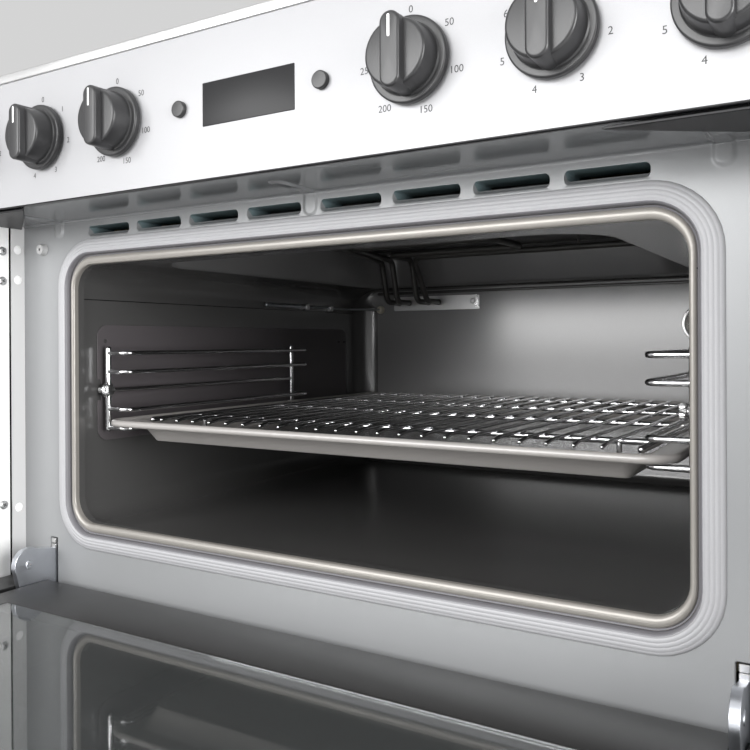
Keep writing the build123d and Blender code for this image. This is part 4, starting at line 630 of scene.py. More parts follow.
class Shape:
    """Surfaces of one piece, gathered before its mesh is made."""

    def __init__(self) -> None:
        """Starts empty."""
        self.points: list[Array] = []
        self.faces: list[Array] = []
        self.tints: list[Array] = []
        self.count = 0

    def surface(self, grid: Array, wrap: tuple[bool, bool] = (False, False), tint: int = 0,
                keep: Array | None = None, flip: bool = False) -> None:
        """Adds the quads of a grid of points.

        Args:
            grid: (rows, columns, 3) points in millimetres.
            wrap: whether the rows and the columns close on themselves.
            tint: which of the piece's finishes the faces take.
            keep: (rows - 1, columns - 1) mask of the faces that stay.
            flip: turns the faces over.
        """
        rows, columns = grid.shape[:2]
        row = np.arange(rows if wrap[0] else rows - 1)[:, None]
        column = np.arange(columns if wrap[1] else columns - 1)[None, :]
        next_row, next_column = (row + 1) % rows, (column + 1) % columns
        corners = (row * columns + column, next_row * columns + column, next_row * columns + next_column,
                   row * columns + next_column)
        quads = np.stack(np.broadcast_arrays(*corners), -1)
        quads = quads[keep] if keep is not None else quads.reshape(-1, 4)
        self.points.append(grid.reshape(-1, 3))
        self.faces.append((quads[:, ::-1] if flip else quads) + self.count)
        self.tints.append(np.full(len(quads), tint))
        self.count += rows * columns

    def rings(self, rings: list[Array], tint: int = 0, flip: bool = False) -> None:
        """Joins closed outlines of equal length, one after the other."""
        self.surface(np.stack(rings), wrap=(False, True), tint=tint, flip=flip)

    def cap(self, ring: Array, centre: Point, tint: int = 0, flip: bool = False, steps: int = 4) -> None:
        """Fills a closed outline with rings that shrink to its centre.

        Args:
            ring: points of the outline.
            centre: point that the rings shrink to.
            tint: which of the piece's finishes the faces take.
            flip: turns the faces over.
            steps: number of rings.
        """
        shares = np.linspace(0.0, 1.0, steps + 1)[:, None, None]
        grid = ring * (1 - shares) + np.array(centre) * shares
        self.surface(grid, wrap=(False, True), tint=tint, flip=flip)

    def pierced(self, place: Place, rest: float, across: Array, up: Array, holes: list[Loop],
                wall: float = 0.0, flip: bool = False) -> None:
        """Flat sheet with openings: a grid that leaves a square round each, and rings that fill these.

        Args:
            place: plane of the sheet.
            rest: the plane's own coordinate.
            across: the grid's lines in one direction, among them every square's sides.
            up: its lines in the other direction.
            holes: openings.
            wall: how far each opening's edge goes on behind the sheet.
            flip: turns the faces over.
        """
        middle_across = (across[1:] + across[:-1])[None, :] / 2
        middle_up = (up[1:] + up[:-1])[:, None] / 2
        cut = np.zeros((len(up) - 1, len(across) - 1), bool)
        for hole in holes:
            around = hole.square(HOLE_MARGIN)
            cut |= ((np.abs(middle_across - around.centre[0]) < around.half[0])
                    & (np.abs(middle_up - around.centre[1]) < around.half[1]))
            self.rings([place.put(around.points(), rest), place.put(hole.points(), rest),
                        place.put(hole.points(), rest + wall)], flip=flip)
        grid = np.stack(np.broadcast_arrays(across[None, :], up[:, None]), -1)
        self.surface(place.put(grid, rest), keep=~cut, flip=flip)

    def piece(self, name: str, body: str, finishes: list[str], replaces: tuple[str, ...] = (),
              closed: bool = True) -> bpy.types.Object:
        """Makes the Blender object.

        Args:
            name: the piece's name.
            body: the CAD body that it rides on.
            finishes: names of its finishes, in the order of the tints.
            replaces: CAD nodes that it stands for.
            closed: whether the faces close round a volume, so that they can be turned outwards.
        Returns:
            The object.
        """
        points = (np.concatenate(self.points) + (0.0, FRONT_Y, 0.0)) * MILLIMETRE
        faces = np.concatenate(self.faces)
        mesh = bpy.data.meshes.new(name)
        mesh.vertices.add(len(points))
        mesh.vertices.foreach_set("co", points.astype(np.float32).ravel())
        mesh.loops.add(faces.size)
        mesh.loops.foreach_set("vertex_index", faces.ravel().astype(np.int32))
        mesh.polygons.add(len(faces))
        mesh.polygons.foreach_set("loop_start", np.arange(0, faces.size, 4, dtype=np.int32))
        mesh.polygons.foreach_set("material_index", np.concatenate(self.tints).astype(np.int32))
        mesh.update(calc_edges=True)
        work = bmesh.new()
        work.from_mesh(mesh)
        bmesh.ops.remove_doubles(work, verts=work.verts, dist=WELD)
        bmesh.ops.dissolve_degenerate(work, edges=work.edges, dist=WELD / 2)
        if closed:
            bmesh.ops.recalc_face_normals(work, faces=work.faces)
        work.to_mesh(mesh)
        work.free()
        return hang(mesh, name, body, finishes, replaces)


def hang(mesh: bpy.types.Mesh, name: str, body: str, finishes: list[str], replaces: tuple[str, ...] = (),
         crease: float = CREASE) -> bpy.types.Object:
    """Dresses and shades a mesh, and hangs it on its body.

    Args:
        mesh: the mesh of the piece.
        name: the piece's name.
        body: the CAD body that it rides on.
        finishes: names of its finishes, in the order of the tints.
        replaces: CAD nodes that it stands for.
        crease: angle in degrees over which an edge stays sharp.
    Returns:
        The object.
    """
    for finish in finishes:
        mesh.materials.append(MATERIALS[finish])
    mesh.shade_smooth()
    mesh.set_sharp_from_angle(angle=math.radians(crease))
    made = bpy.data.objects.new(name, mesh)
    bpy.context.scene.collection.objects.link(made)
    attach(made, body)
    if replaces:
        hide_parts(*replaces)
    log.info("%s: %d faces on %s", name, len(mesh.polygons), body)
    return made


def rounded_copy(node: str, width: float) -> None:
    """Copy of a CAD node with its flat faces joined and its edges rounded, which stands for the node.

    Args:
        node: the CAD node.
        width: width of the rounding in millimetres.
    """
    source = frame["nodes"][node]
    mesh = source.data.copy()
    mesh.materials.clear()
    work = bmesh.new()
    work.from_mesh(mesh)
    bmesh.ops.remove_doubles(work, verts=work.verts, dist=WELD)
    bmesh.ops.dissolve_limit(work, angle_limit=math.radians(FLAT_ANGLE), verts=work.verts, edges=work.edges)
    work.to_mesh(mesh)
    work.free()
    mesh.polygons.foreach_set("material_index", np.zeros(len(mesh.polygons), np.int32))
    body = body_of(source)[0]
    made = hang(mesh, f"{node}_rounded", body, [NODE_SLOTS[node]], (node,), EDGE_ANGLE)
    bevel = made.modifiers.new("edge", "BEVEL")
    bevel.width = width * MILLIMETRE
    bevel.segments = 2
    bevel.limit_method = "ANGLE"
    bevel.angle_limit = math.radians(EDGE_ANGLE)
    bevel.use_clamp_overlap = False
    bevel.harden_normals = True


def dress_cad_nodes() -> None:
    """Gives every CAD node the finish of its slot."""
    for node, made in frame["nodes"].items():
        finish = MATERIALS[NODE_SLOTS[node]]
        if not made.material_slots:
            made.data.materials.append(finish)
        for held in made.material_slots:
            held.material = finish


@dataclass(frozen=True)
class Wire:
    """One round wire: the corners of its route, its radius and the radius of its bends."""

    route: tuple[Point, ...]
    radius: float
    bend: float = 0.0
    dome: float = 1.0

    def grid(self) -> Array:
        """Returns the wire's surface."""
        path = bent(list(self.route), self.bend) if self.bend else np.array(self.route, float)
        return tube(path, self.radius, dome=self.dome)


def build_wires(name: str, body: str, finish: str, wires: list[Wire],
                replaces: tuple[str, ...] = ()) -> None:
    """Builds one piece of several wires.

    Args:
        name: the piece's name.
        body: the CAD body that it rides on.
        finish: its finish.
        wires: the wires.
        replaces: CAD nodes that it stands for.
    """
    shape = Shape()
    for wire in wires:
        shape.surface(wire.grid(), wrap=(False, True))
    shape.piece(name, body, [finish], replaces)


@dataclass(frozen=True)
class Mouth:
    """One oven mouth: its opening in the front frame, its rolled lip and its sealing band."""

    name: str
    low: float
    high: float
    half_width: float = 232.0
    under_seal: float = 0.3
    lip_half_width: float = 228.3
    lip_floor_rise: float = 6.0
    lip_side_drop: float = 3.5
    lip_depth: float = 10.0
    lip_nose: float = 2.1
    lip_base: float = 1.8
    # Depth where the lip's own finish ends and the painted shade of the strip behind it begins.
    lip_bright: float = 4.5
    lip_corner: float = 19.1
    lip_reach: float = 0.2
    nose_steps: int = 16
    groove: float = 1.0
    groove_depth: float = 1.2
    groove_corner: float = 24.7
    seal_inset: float = 1.4
    floor_margin: float = 0.2
    top_margin: float = 2.7
    seal_width: float = 12.1
    seal_height: float = 3.3
    seal_steps: int = 80
    shoulders: Pair = (1.6, 8.5)
    flank: float = 1.5
    ridges: int = 5
    valley: float = 0.28

    def around(self, outset: float, corner: float) -> Loop:
        """Outline that lies outset from the mouth's sides, floor and top."""
        side = self.half_width + outset
        return Loop.between((-side, self.low - self.floor_margin - outset),
                            (side, self.high + self.top_margin + outset), corner)

    def edge(self) -> Loop:
        """Edge of the sheet, which lies hidden under the seal."""
        return self.around(self.seal_inset + self.under_seal, self.groove_corner + self.under_seal)

    def lip_edge(self) -> Loop:
        """Inner edge of the lip."""
        side, low, high = self.lip_half_width, self.low + self.lip_floor_rise, self.high - self.lip_side_drop
        return Loop.between((-side, low), (side, high), self.lip_corner)

    def build_lip(self) -> None:
        """Rolled lip: a half-round nose, about level with the sheet's face, joins two loops.

        Round it a narrow ring leads under the seal; it takes the seal's darker finish as painted shade.
        Behind it the inner loop goes on into the cavity, where it takes the dark enamel as painted shade.
        """
        reach, inner = self.lip_reach, self.lip_edge().points()
        roll = self.around(reach, self.groove_corner - self.seal_inset + reach)
        outer = roll.points()
        turn = np.radians(np.linspace(0, 180, self.nose_steps + 1))
        noses = zip((1 - np.cos(turn)) / 2, self.lip_base - self.lip_nose * np.sin(turn))
        rings = [Place.FRONT.put(outer * (1 - share) + inner * share, depth) for share, depth in noses]
        shape = Shape()
        bright = Place.FRONT.put(inner, self.lip_bright)
        shape.rings([*rings, bright], flip=True)
        groove = Place.FRONT.put(roll.points(self.groove), self.groove_depth)
        # The ring down into the groove takes the darker seal finish: painted shade.
        shape.rings([groove, rings[0]], tint=2, flip=True)
        # The strip behind the bright part takes the dark enamel: painted shade inside the mouth.
        shape.rings([bright, Place.FRONT.put(inner, self.lip_depth)], tint=1, flip=True)
        finishes = ["lip_enamel", "dark_enamel", "seal_painted_shade"]
        shape.piece(f"{self.name}_mouth_lip", FIXED, finishes, closed=False)

    def build_seal(self) -> None:
        """Sealing band: steep on the inside, falling away gently on the outside, with fine ridges.

        Its height over the sheet is the full height times the lesser of two quarter ellipses, one for each
        shoulder, less the valley between ridges, which follows |sin| of the way across. Its inner flank
        takes a darker copy of the seal's finish, which is painted shade.
        """
        width = self.seal_width
        across = np.linspace(0.0, width, self.seal_steps + 1)
        rises = [np.clip(way / reach, 0.0, 1.0)
                 for way, reach in zip((across, width - across), self.shoulders)]
        swell = np.minimum(*(np.sqrt(1 - (1 - rise) ** 2) for rise in rises))
        valley = self.valley * (1 - np.abs(np.sin(np.pi * self.ridges * across / width))) * swell
        crown = np.stack([across, valley - self.seal_height * swell], -1)
        profile = np.concatenate([[(0.0, self.groove_depth)], crown, [(width, 0.0)]])
        inner = self.around(self.seal_inset, self.groove_corner)
        shape = Shape()
        grid = np.stack([Place.FRONT.put(inner.points(o), d) for o, d in [*profile, profile[0]]], 1)
        flank = 2 + int(np.searchsorted(across, self.flank))
        shape.surface(grid[:, flank - 1:], wrap=(True, False))
        # The inner flank takes the darker seal finish: painted shade.
        shape.surface(grid[:, :flank], tint=1, wrap=(True, False))
        replaced = (f"{self.name}_oven_seal",)
        shape.piece(f"{self.name}_seal_band", FIXED, ["seal_grey", "seal_painted_shade"], replaced)


@dataclass(frozen=True)
class Vent:
    """Air vent: a scoop pressed back into the sheet, and a short duct behind its upper part."""

    centre: float
    low: float = 788.9
    high: float = 797.5
    half_width: float = 22.5
    corner: float = 3.6
    lip: float = 792.0
    press: float = 4.2
    side_margin: float = 0.5
    top_margin: float = 0.25
    ease: float = 1.0
    opening_corner: float = 1.8
    duct: float = 24.0
    side_steps: int = 10
    ring_count: int = 9

    def edge(self) -> Loop:
        """Edge of the scoop in the sheet's face."""
        side = self.half_width
        return Loop.between((self.centre - side, self.low), (self.centre + side, self.high), self.corner,
                            self.side_steps)

    def build(self, shape: Shape) -> None:
        """Rings from the edge to the opening, whose depth grows as a smooth step, then the duct.

        Args:
            shape: the sheet's surfaces.
        """
        side, front = self.half_width - self.side_margin, Place.FRONT
        opening = Loop.between((self.centre - side, self.lip),
                               (self.centre + side, self.high - self.top_margin), self.opening_corner,
                               self.side_steps)
        outer, inner = self.edge().points(), opening.points()
        sunk = self.press * smooth((self.high - inner[:, 1]) / (self.high - self.lip - self.ease))
        rings = [front.put(outer * (1 - share) + inner * share, sunk * smooth(share))
                 for share in np.linspace(0, 1, self.ring_count)]
        shape.rings([front.put(self.edge().square(HOLE_MARGIN).points(), 0.0), *rings], flip=True)
        # The duct takes the brightened teal: painted light inside the vent.
        shape.rings([rings[-1], front.put(inner, sunk + self.duct)], tint=1, flip=True)


@dataclass(frozen=True)
class FrontFrame:
    """Pressed front sheet with vents, beads and flanges, folded forward into the overhang."""

    mouths: tuple[Mouth, Mouth]
    inner: float = 288.8
    bottom: float = 88.0
    fold: float = 803.0
    fold_radius: float = 1.6
    overhang: float = 59.0
    flange: float = 12.0
    vent_places: tuple[float, ...] = (30.0, 82.7, 135.4, 188.1)
    bead_places: tuple[Pair, ...] = ((0.0, 789.4), (-245.0, 792.5), (245.0, 792.5))
    bead_radius: float = 5.0
    bead_foot: float = 0.8
    bead_slope: float = 2.2
    bead_height: float = 1.0
    bead_end: float = -40.0
    pressed_from: float = 786.0
    hinge_x: float = 253.0
    slot_half: float = 4.0
    slot_corner: float = 1.0
    slot_round: float = 0.5
    slot_wall: float = 3.0
    pivots: Pair = (506.0, 112.0)
    slot_reach: Pair = (-9.3, 46.0)
    hole_depth: float = -6.0
    hole_radius: float = 3.75
    light_disc_dome: float = 8.9
    light_disc_sunk: float = 8.6
    light_disc_x: float = 0.4
    hole_heights: tuple[float, ...] = (783.4, 758.9, 573.5, 420.0, 150.0)
    mouth_margin: float = 11.0
    mouth_rings: int = 5
    sheet: float = 1.0
    step: float = 20.0
    overhang_step: float = 12.0
    fold_steps: int = 8

    def vents(self) -> list[Vent]:
        """Every air vent."""
        return [Vent(side * place) for side in (-1, 1) for place in self.vent_places]

    def slots(self) -> list[Loop]:
        """Openings for the hinge arms."""
        low, high = self.slot_reach
        return [Loop.between((side * self.hinge_x - self.slot_half, pivot + low),
                             (side * self.hinge_x + self.slot_half, pivot + high), self.slot_corner)
                for pivot in self.pivots for side in (-1, 1)]

    def windows(self) -> list[Loop]:
        """Square openings that the sheet's grid leaves round mouths, hinge slots and vents.

        Returns:
            Their outlines.
        """
        found = [mouth.edge().square(self.mouth_margin) for mouth in self.mouths]
        found += [vent.edge().square(HOLE_MARGIN) for vent in self.vents()]
        return found + [slot.square(HOLE_MARGIN) for slot in self.slots()]

    def build_sheet(self, shape: Shape) -> None:
        """Sheet: a section up the face, round the fold and forward, carried across x and beaded.

        A bead stands out by a smooth step of the distance to its spine, counted along the section. The
        overhang takes its own glossier finish, whose darker colour is painted shade on its downward face.

        Args:
            shape: the sheet's surfaces.
        """
        windows = self.windows()
        reach = self.bead_radius + self.bead_slope
        beads = tuple((place - reach, place + reach) for place, _ in self.bead_places)
        sides = [w.centre[0] + s * w.half[0] for w in windows for s in (-1, 1)]
        levels = [w.centre[1] + s * w.half[1] for w in windows for s in (-1, 1)]
        straight = self.fold - self.fold_radius
        x = spaced([-self.inner, self.inner, *sides], self.step, beads)
        up = spaced([self.bottom, *levels, straight], self.step, ((self.pressed_from, straight),))
        turn = np.radians(np.linspace(0, 90, self.fold_steps + 1)[1:])
        out = spaced([-self.overhang, self.bead_end - reach, -self.fold_radius], self.overhang_step,
                     ((self.bead_end - reach, self.bead_end + reach),))[::-1][1:]
        depth = np.concatenate([0 * up, -self.fold_radius * (1 - np.cos(turn)), out])
        height = np.concatenate([up, self.fold - self.fold_radius * (1 - np.sin(turn)), 0 * out + self.fold])
        length = np.concatenate([[0.0], np.cumsum(np.hypot(np.diff(depth), np.diff(height)))])
        length -= length[len(up) - 1]
        way = np.concatenate([0 * up, turn, 0 * out + np.pi / 2])
        raised = np.zeros((len(length), len(x)))
        for place, low in self.bead_places:
            top_end, bottom_end = self.bead_end + self.bead_radius, low + self.bead_radius - self.fold
            beyond = np.maximum(0.0, np.maximum(bottom_end - length, length + top_end))[:, None]
            gap = np.hypot(beyond, x[None, :] - place)
            raised += self.bead_height * smooth((self.bead_radius + self.bead_foot - gap) / self.bead_slope)
        middle_x, middle_z = (x[1:] + x[:-1])[None, :] / 2, (height[1:] + height[:-1])[:, None] / 2
        cut = np.zeros((len(height) - 1, len(x) - 1), bool)
        for window in windows:
            cut |= ((np.abs(middle_x - window.centre[0]) < window.half[0])
                    & (np.abs(middle_z - window.centre[1]) < window.half[1]))
        cut &= depth[1:, None] == 0.0
        grid = np.stack(np.broadcast_arrays(x[None, :], depth[:, None] - raised * np.cos(way)[:, None],
                                            height[:, None] - raised * np.sin(way)[:, None]), -1)
        shape.surface(grid[:len(up)], keep=~cut[:len(up) - 1], flip=True)
        # The overhang takes the darker copy of the frame paint: painted shade.
        shape.surface(grid[len(up) - 1:], tint=2, flip=True)

    def build_openings(self, shape: Shape) -> None:
        """Fills the sheet's windows round each mouth, vent and hinge slot.

        Args:
            shape: the sheet's surfaces.
        """
        for mouth in self.mouths:
            edge = mouth.edge()
            share = np.linspace(0, 1, self.mouth_rings)[:, None, None]
            outlines = edge.square(self.mouth_margin).points() * (1 - share) + edge.points() * share
            shape.rings(list(Place.FRONT.put(outlines, 0.0)), flip=True)
        for vent in self.vents():
            vent.build(shape)
        for slot in self.slots():
            shape.rings([Place.FRONT.put(slot.square(HOLE_MARGIN).points(), 0.0),
                         Place.FRONT.put(slot.points(self.slot_round), 0.0),
                         Place.FRONT.put(slot.points(), self.slot_round),
                         Place.FRONT.put(slot.points(), self.slot_wall)], flip=True)

    def build_flanges(self) -> None:
        """Flanges along the posts and white discs behind their holes.

        The flanges take a lighter copy of the frame paint and the discs stand in for the light seen through
        the holes: both are painted light.
        """
        flanges, light_discs = Shape(), Shape()
        square = self.hole_radius + HOLE_MARGIN
        depths = spaced([-self.flange, self.hole_depth - square, self.hole_depth + square, 0.0], self.step)
        levels = [h + s * square for h in self.hole_heights for s in (-1, 1)]
        heights = spaced([self.bottom, self.fold, *levels], self.step)
        holes = [Loop((self.hole_depth, h), (self.hole_radius,) * 2, self.hole_radius, 6, 1)
                 for h in self.hole_heights]
        dome = arc((0.0, -self.light_disc_sunk), self.light_disc_dome, 90.0, 65.0, 6)
        for side in (-1, 1):
            inner, outer = side * self.inner, side * (self.inner + self.sheet)
            flanges.pierced(Place.SIDE, inner, depths, heights, holes, side * self.sheet, side < 0)
            edge = np.array([[inner, -self.flange], [outer, -self.flange]])
            ends = np.array([self.bottom, self.fold])[:, None]
            flanges.surface(np.stack(np.broadcast_arrays(edge[:, 0], edge[:, 1], ends), -1), flip=side > 0)
            # White discs behind the holes stand in for the light seen through them: painted light.
            for height in self.hole_heights:
                place = (side * (self.inner + self.light_disc_x), self.hole_depth, height)
                light_discs.surface(turned(dome, place, (-side, 0.0, 0.0), 28), wrap=(False, True))
        # The flanges take the lighter copy of the frame paint: painted light.
        flanges.piece("frame_flanges", FIXED, ["flange_painted_light"], closed=False)
        light_discs.piece("post_hole_light_discs", FIXED, ["hole_light_white"], closed=False)

    def build(self) -> None:
        """Builds the sheet and its flanges."""
        shape = Shape()
        self.build_sheet(shape)
        self.build_openings(shape)
        finishes = ["frame_paint", "duct_teal_painted_light", "overhang_gloss_painted_shade"]
        shape.piece("front_sheet", FIXED, finishes, ("front_frame",), closed=False)
        self.build_flanges()


@dataclass(frozen=True)
class SidePanels:
    """Side skins: grey outside, folded round the front into white hollow posts whose joint is painted black
    as shade.
    """

    outer: float = 300.0
    face: float = 289.8
    front: float = -40.0
    rear: float = 548.8
    rear_flange: float = 16.0
    bottom: float = 20.0
    top: float = 802.7
    skin_top: float = 892.7
    joint_depth: float = -13.6
    joint_sunk: float = 1.8
    fold: float = 0.9
    step: float = 60.0

    def build(self) -> None:
        """Carries the plan of each panel up; the skin alone goes on beside the control panel."""
        sunk = self.face + self.joint_sunk
        post = bent_flat([(self.outer - self.rear_flange, self.rear), (self.outer, self.rear),
                          (self.outer, self.front), (self.face, self.front), (self.face, self.joint_depth)],
                         self.fold)
        bend = int(np.argmin(np.hypot(*(post - (self.outer, self.front)).T))) + 1
        # The sunk joint takes the black finish: painted shade in the groove.
        joint = np.array([(self.face, self.joint_depth), (sunk, self.joint_depth), (sunk, 0.0)])
        skin = np.array([(self.outer, self.rear), (self.outer, self.front)])
        parts = ((post[:bend], self.bottom, self.top, 2), (post[bend - 1:], self.bottom, self.top, 0),
                 (joint, self.bottom, self.top, 1), (skin, self.top, self.skin_top, 2))
        finishes = ["white_paint", "edge_black_and_painted_shade", "side_grey"]
        for side, name in ((-1, "left"), (1, "right")):
            shape = Shape()
            for outline, low, high, tint in parts:
                heights = spaced([low, high], self.step)[:, None]
                grid = np.stack(np.broadcast_arrays(side * outline[:, 0], outline[:, 1], heights), -1)
                shape.surface(grid, tint=tint, flip=side < 0)
            shape.piece(f"{name}_side_skin", FIXED, finishes, (f"side_panel_{name}",), closed=False)


@dataclass(frozen=True)
class Cavity:
    """Enamelled oven cavity: a rounded section drawn back, its rear edges turned in to the rear wall.

    It is made in an upper and a lower half that meet in a seam along its walls.
    """

    low: float
    high: float
    seam: float
    half_width: float = 232.0
    front: float = 1.4
    depth: float = 434.0
    corner: float = 22.0
    rear_corner: float = 22.0
    floor_fold: float = 9.0
    ceiling_fold: float = 3.0
    seam_gap: float = 0.4
    seam_turn: float = 1.2
    seam_lap: float = 2.4
    wall_steps: int = 13
    bow_steps: int = 10
    flat_steps: int = 24
    depth_steps: int = 19
    rear_steps: int = 10
    rear_columns: int = 40

    def section(self, upper: bool) -> tuple[Array, Array]:
        """Left half of the upper or lower section, from the seam to the middle.

        Args:
            upper: whether it is the upper section.
        Returns:
            The points and their inward normals.
        """
        sign = 1.0 if upper else -1.0
        end = self.high if upper else self.low
        start = self.seam + (self.seam_gap if upper else 0.0)
        wall = np.linspace(start, end - sign * self.corner, self.wall_steps)
        wall = np.concatenate([wall[:1], wall])
        turn = np.radians(np.linspace(0, 90, self.bow_steps + 1)[1:])
        centre = (-self.half_width + self.corner, end - sign * self.corner)
        bow = np.stack([centre[0] - self.corner * np.cos(turn),
                        centre[1] + sign * self.corner * np.sin(turn)], -1)
        flat = np.linspace(centre[0], 0.0, self.flat_steps + 1)[1:]
        points = np.concatenate([np.stack([0 * wall - self.half_width, wall], -1), bow,
                                 np.stack([flat, 0 * flat + end], -1)])
        points[0] -= (self.seam_turn, self.seam_lap if upper else 0.0)
        inward = np.concatenate([np.tile([1.0, 0.0], (len(wall), 1)),
                                 np.stack([np.cos(turn), -sign * np.sin(turn)], -1),
                                 np.tile([0.0, -sign], (len(flat), 1))])
        return points, inward

    def build_half(self, shape: Shape, upper: bool, open_flat: bool = False) -> None:
        """Walls and rear wall of one half.

        Along the section the rear edge turns in by a quarter circle, whose radius runs from the rear corner
        at the side walls to the fold at the floor or ceiling. The rear wall takes a lighter copy of the
        enamel, which is painted light, and ends level with the seam, where the other half's begins.

        Args:
            shape: the piece's surfaces.
            upper: whether it is the upper half.
            open_flat: whether the level part is left out as far as the fold.
        """
        points, inward = self.section(upper)
        fold = self.ceiling_fold if upper else self.floor_fold
        radius = self.rear_corner + (fold - self.rear_corner) * np.abs(inward[:, 1])
        share = np.linspace(0, 1, self.depth_steps + 1)[:, None]
        turn = np.radians(np.linspace(0, 90, self.rear_steps + 1))[1:, None]
        depth = np.concatenate([self.front + (self.depth - radius - self.front) * share,
                                self.depth - radius * (1 - np.sin(turn))])
        offset = np.concatenate([0 * share * radius, radius * (1 - np.cos(turn))])
        left = np.stack([points[:, 0] + offset * inward[:, 0], depth,
                         points[:, 1] + offset * inward[:, 1]], -1)
        right = left * (-1.0, 1.0, 1.0)
        keep = np.ones((len(depth) - 1, len(points) - 1), bool)
        if open_flat:
            keep[:len(share) - 1, self.wall_steps + self.bow_steps:] = False
        shape.surface(left, keep=keep, flip=not upper)
        shape.surface(right, keep=keep, flip=upper)
        left[-1, 0] += (0.0, 0.0, self.seam - left[-1, 0, 2])
        right[-1, 0] = left[-1, 0] * (-1.0, 1.0, 1.0)
        across = np.linspace(0, 1, self.rear_columns + 1)[None, :, None]
        used = slice(0, self.wall_steps + self.bow_steps + 1)
        rear = left[-1, used, None] * (1 - across) + right[-1, used, None] * across
        # The rear wall takes the lighter copy of the enamel: painted light.
        shape.surface(rear, tint=1, flip=upper)


@dataclass(frozen=True)
class GrillCeiling:
    """Pressed ceiling of the top oven with its sloping recess for the grill element."""

    cavity: Cavity
    left: float = -205.0
    right: float = 167.0
    front: float = 55.0
    rear: float = 420.0
    corner: float = 42.0
    rise: float = 40.5
    slope: float = 18.0
    soft: float = 5.0
    level_run: float = 4.0
    roof_run: float = 12.0
    margin_rings: int = 4
    lit_rings: int = 9
    joint_offset: Point = (0.1, 0.0, 0.2)
    joint_radius: float = 0.4
    bead_height: float = 765.8
    bead_inset: float = 24.0
    bead_sunk: float = 0.1
    bead_radius: float = 1.6

    def build(self) -> None:
        """Upper walls, then rings from the level margin over the recess's soft edge to its roof.

        The margin and the recess's slope take a lighter copy of the enamel, which is painted light. A thin
        black wire is painted shade in the joint of the side walls, and another wire is the bead across the
        rear wall.
        """
        cavity, level = self.cavity, Place.LEVEL
        shape = Shape()
        cavity.build_half(shape, True, open_flat=True)
        side = cavity.half_width - cavity.corner
        border = Loop.between((-side, cavity.front), (side, cavity.depth - cavity.ceiling_fold), 0.0)
        recess = Loop.between((self.left, self.front), (self.right, self.rear), self.corner)
        run, roof = self.rise * math.tan(math.radians(self.slope)), cavity.high + self.rise
        profile = bent_flat([(self.level_run, cavity.high), (0.0, cavity.high), (-run, roof),
                             (-run - self.roof_run, roof)], self.soft)
        rings = [level.put(recess.points(offset), height) for offset, height in profile]
        margin = level.put(border.points(), cavity.high)
        shares = np.linspace(0, 1, self.margin_rings + 1)[:-1, None, None]
        # The margin and the recess's slope take the lighter copy of the enamel: painted light.
        shape.rings([*(margin * (1 - shares) + rings[0] * shares), *rings[:self.lit_rings]], tint=1)
        shape.rings(rings[self.lit_rings - 1:])
        shape.cap(rings[-1], (*recess.centre, roof))
        shape.piece("top_ceiling_skin", FIXED, ENAMELS, ("top_oven_ceiling",), closed=False)
        joint, height = cavity.half_width + self.joint_offset[0], cavity.seam + self.joint_offset[2]
        ends = (cavity.front, cavity.depth - cavity.rear_corner)
        # A thin black wire in the seam of the side walls: painted shade in the gap.
        build_wires("wall_joint", FIXED, "edge_black_and_painted_shade",
                    [Wire(tuple((side * joint, depth, height) for depth in ends), self.joint_radius)
                     for side in (-1, 1)])
        reach, back = cavity.half_width - self.bead_inset, cavity.depth - self.bead_sunk
        route = ((-reach, back, self.bead_height), (reach, back, self.bead_height))
        build_wires("rear_wall_bead", FIXED, "dark_enamel", [Wire(route, self.bead_radius)])


@dataclass(frozen=True)
class GrillElement:
    """Sheathed grill element: an outer loop and an inner hairpin whose legs leave through the rear wall."""

    height: float = 801.0
    leg_height: float = 754.0
    legs: tuple[float, ...] = (-178.5, -165.0, -139.0, -126.0)
    radius: float = 3.25
    bend: float = 11.0
    leg_end: float = 440.0
    leg_turn: float = 404.0
    leg_rise: float = 391.0
    outer_x: Pair = (-150.0, 136.0)
    outer_depth: Pair = (92.0, 371.0)
    hairpin_x: Pair = (-136.0, 13.0)
    hairpin_depth: Pair = (262.0, 340.0)
    hangers: tuple[Pair, ...] = ((-150.0, 180.0), (136.0, 230.0), (-60.0, 92.0), (60.0, 371.0))
    hanger_radius: float = 1.2
    roof: float = 812.0

    def build(self) -> None:
        """Builds both tubes and the strips that hang them from the recess."""
        first, second, third, fourth = self.legs
        low, high = self.leg_height, self.height
        left, right = self.outer_x
        near, far = self.outer_depth
        hair_left, hair_right = self.hairpin_x
        hair_near, hair_far = self.hairpin_depth
        outer = ((first, self.leg_end, low), (first, self.leg_turn, low), (first, self.leg_rise, high),
                 (left, hair_near, high), (left, near, high), (right, near, high), (right, far, high),
                 (fourth, far, high), (fourth, self.leg_turn, low), (fourth, self.leg_end, low))
        inner = ((second, self.leg_end, low), (second, self.leg_turn, low), (second, self.leg_rise, high),
                 (hair_left, hair_near, high), (hair_right, hair_near, high), (hair_right, hair_far, high),
                 (third, hair_far, high), (third, self.leg_rise, high), (third, self.leg_turn, low),
                 (third, self.leg_end, low))
        wires = [Wire(route, self.radius, self.bend) for route in (outer, inner)]
        for across, depth in self.hangers:
            route = ((across, depth, high + self.radius), (across, depth, self.roof))
            wires.append(Wire(route, self.hanger_radius))
        build_wires("grill_tubes", FIXED, "element_sheath", wires, ("grill_element",))


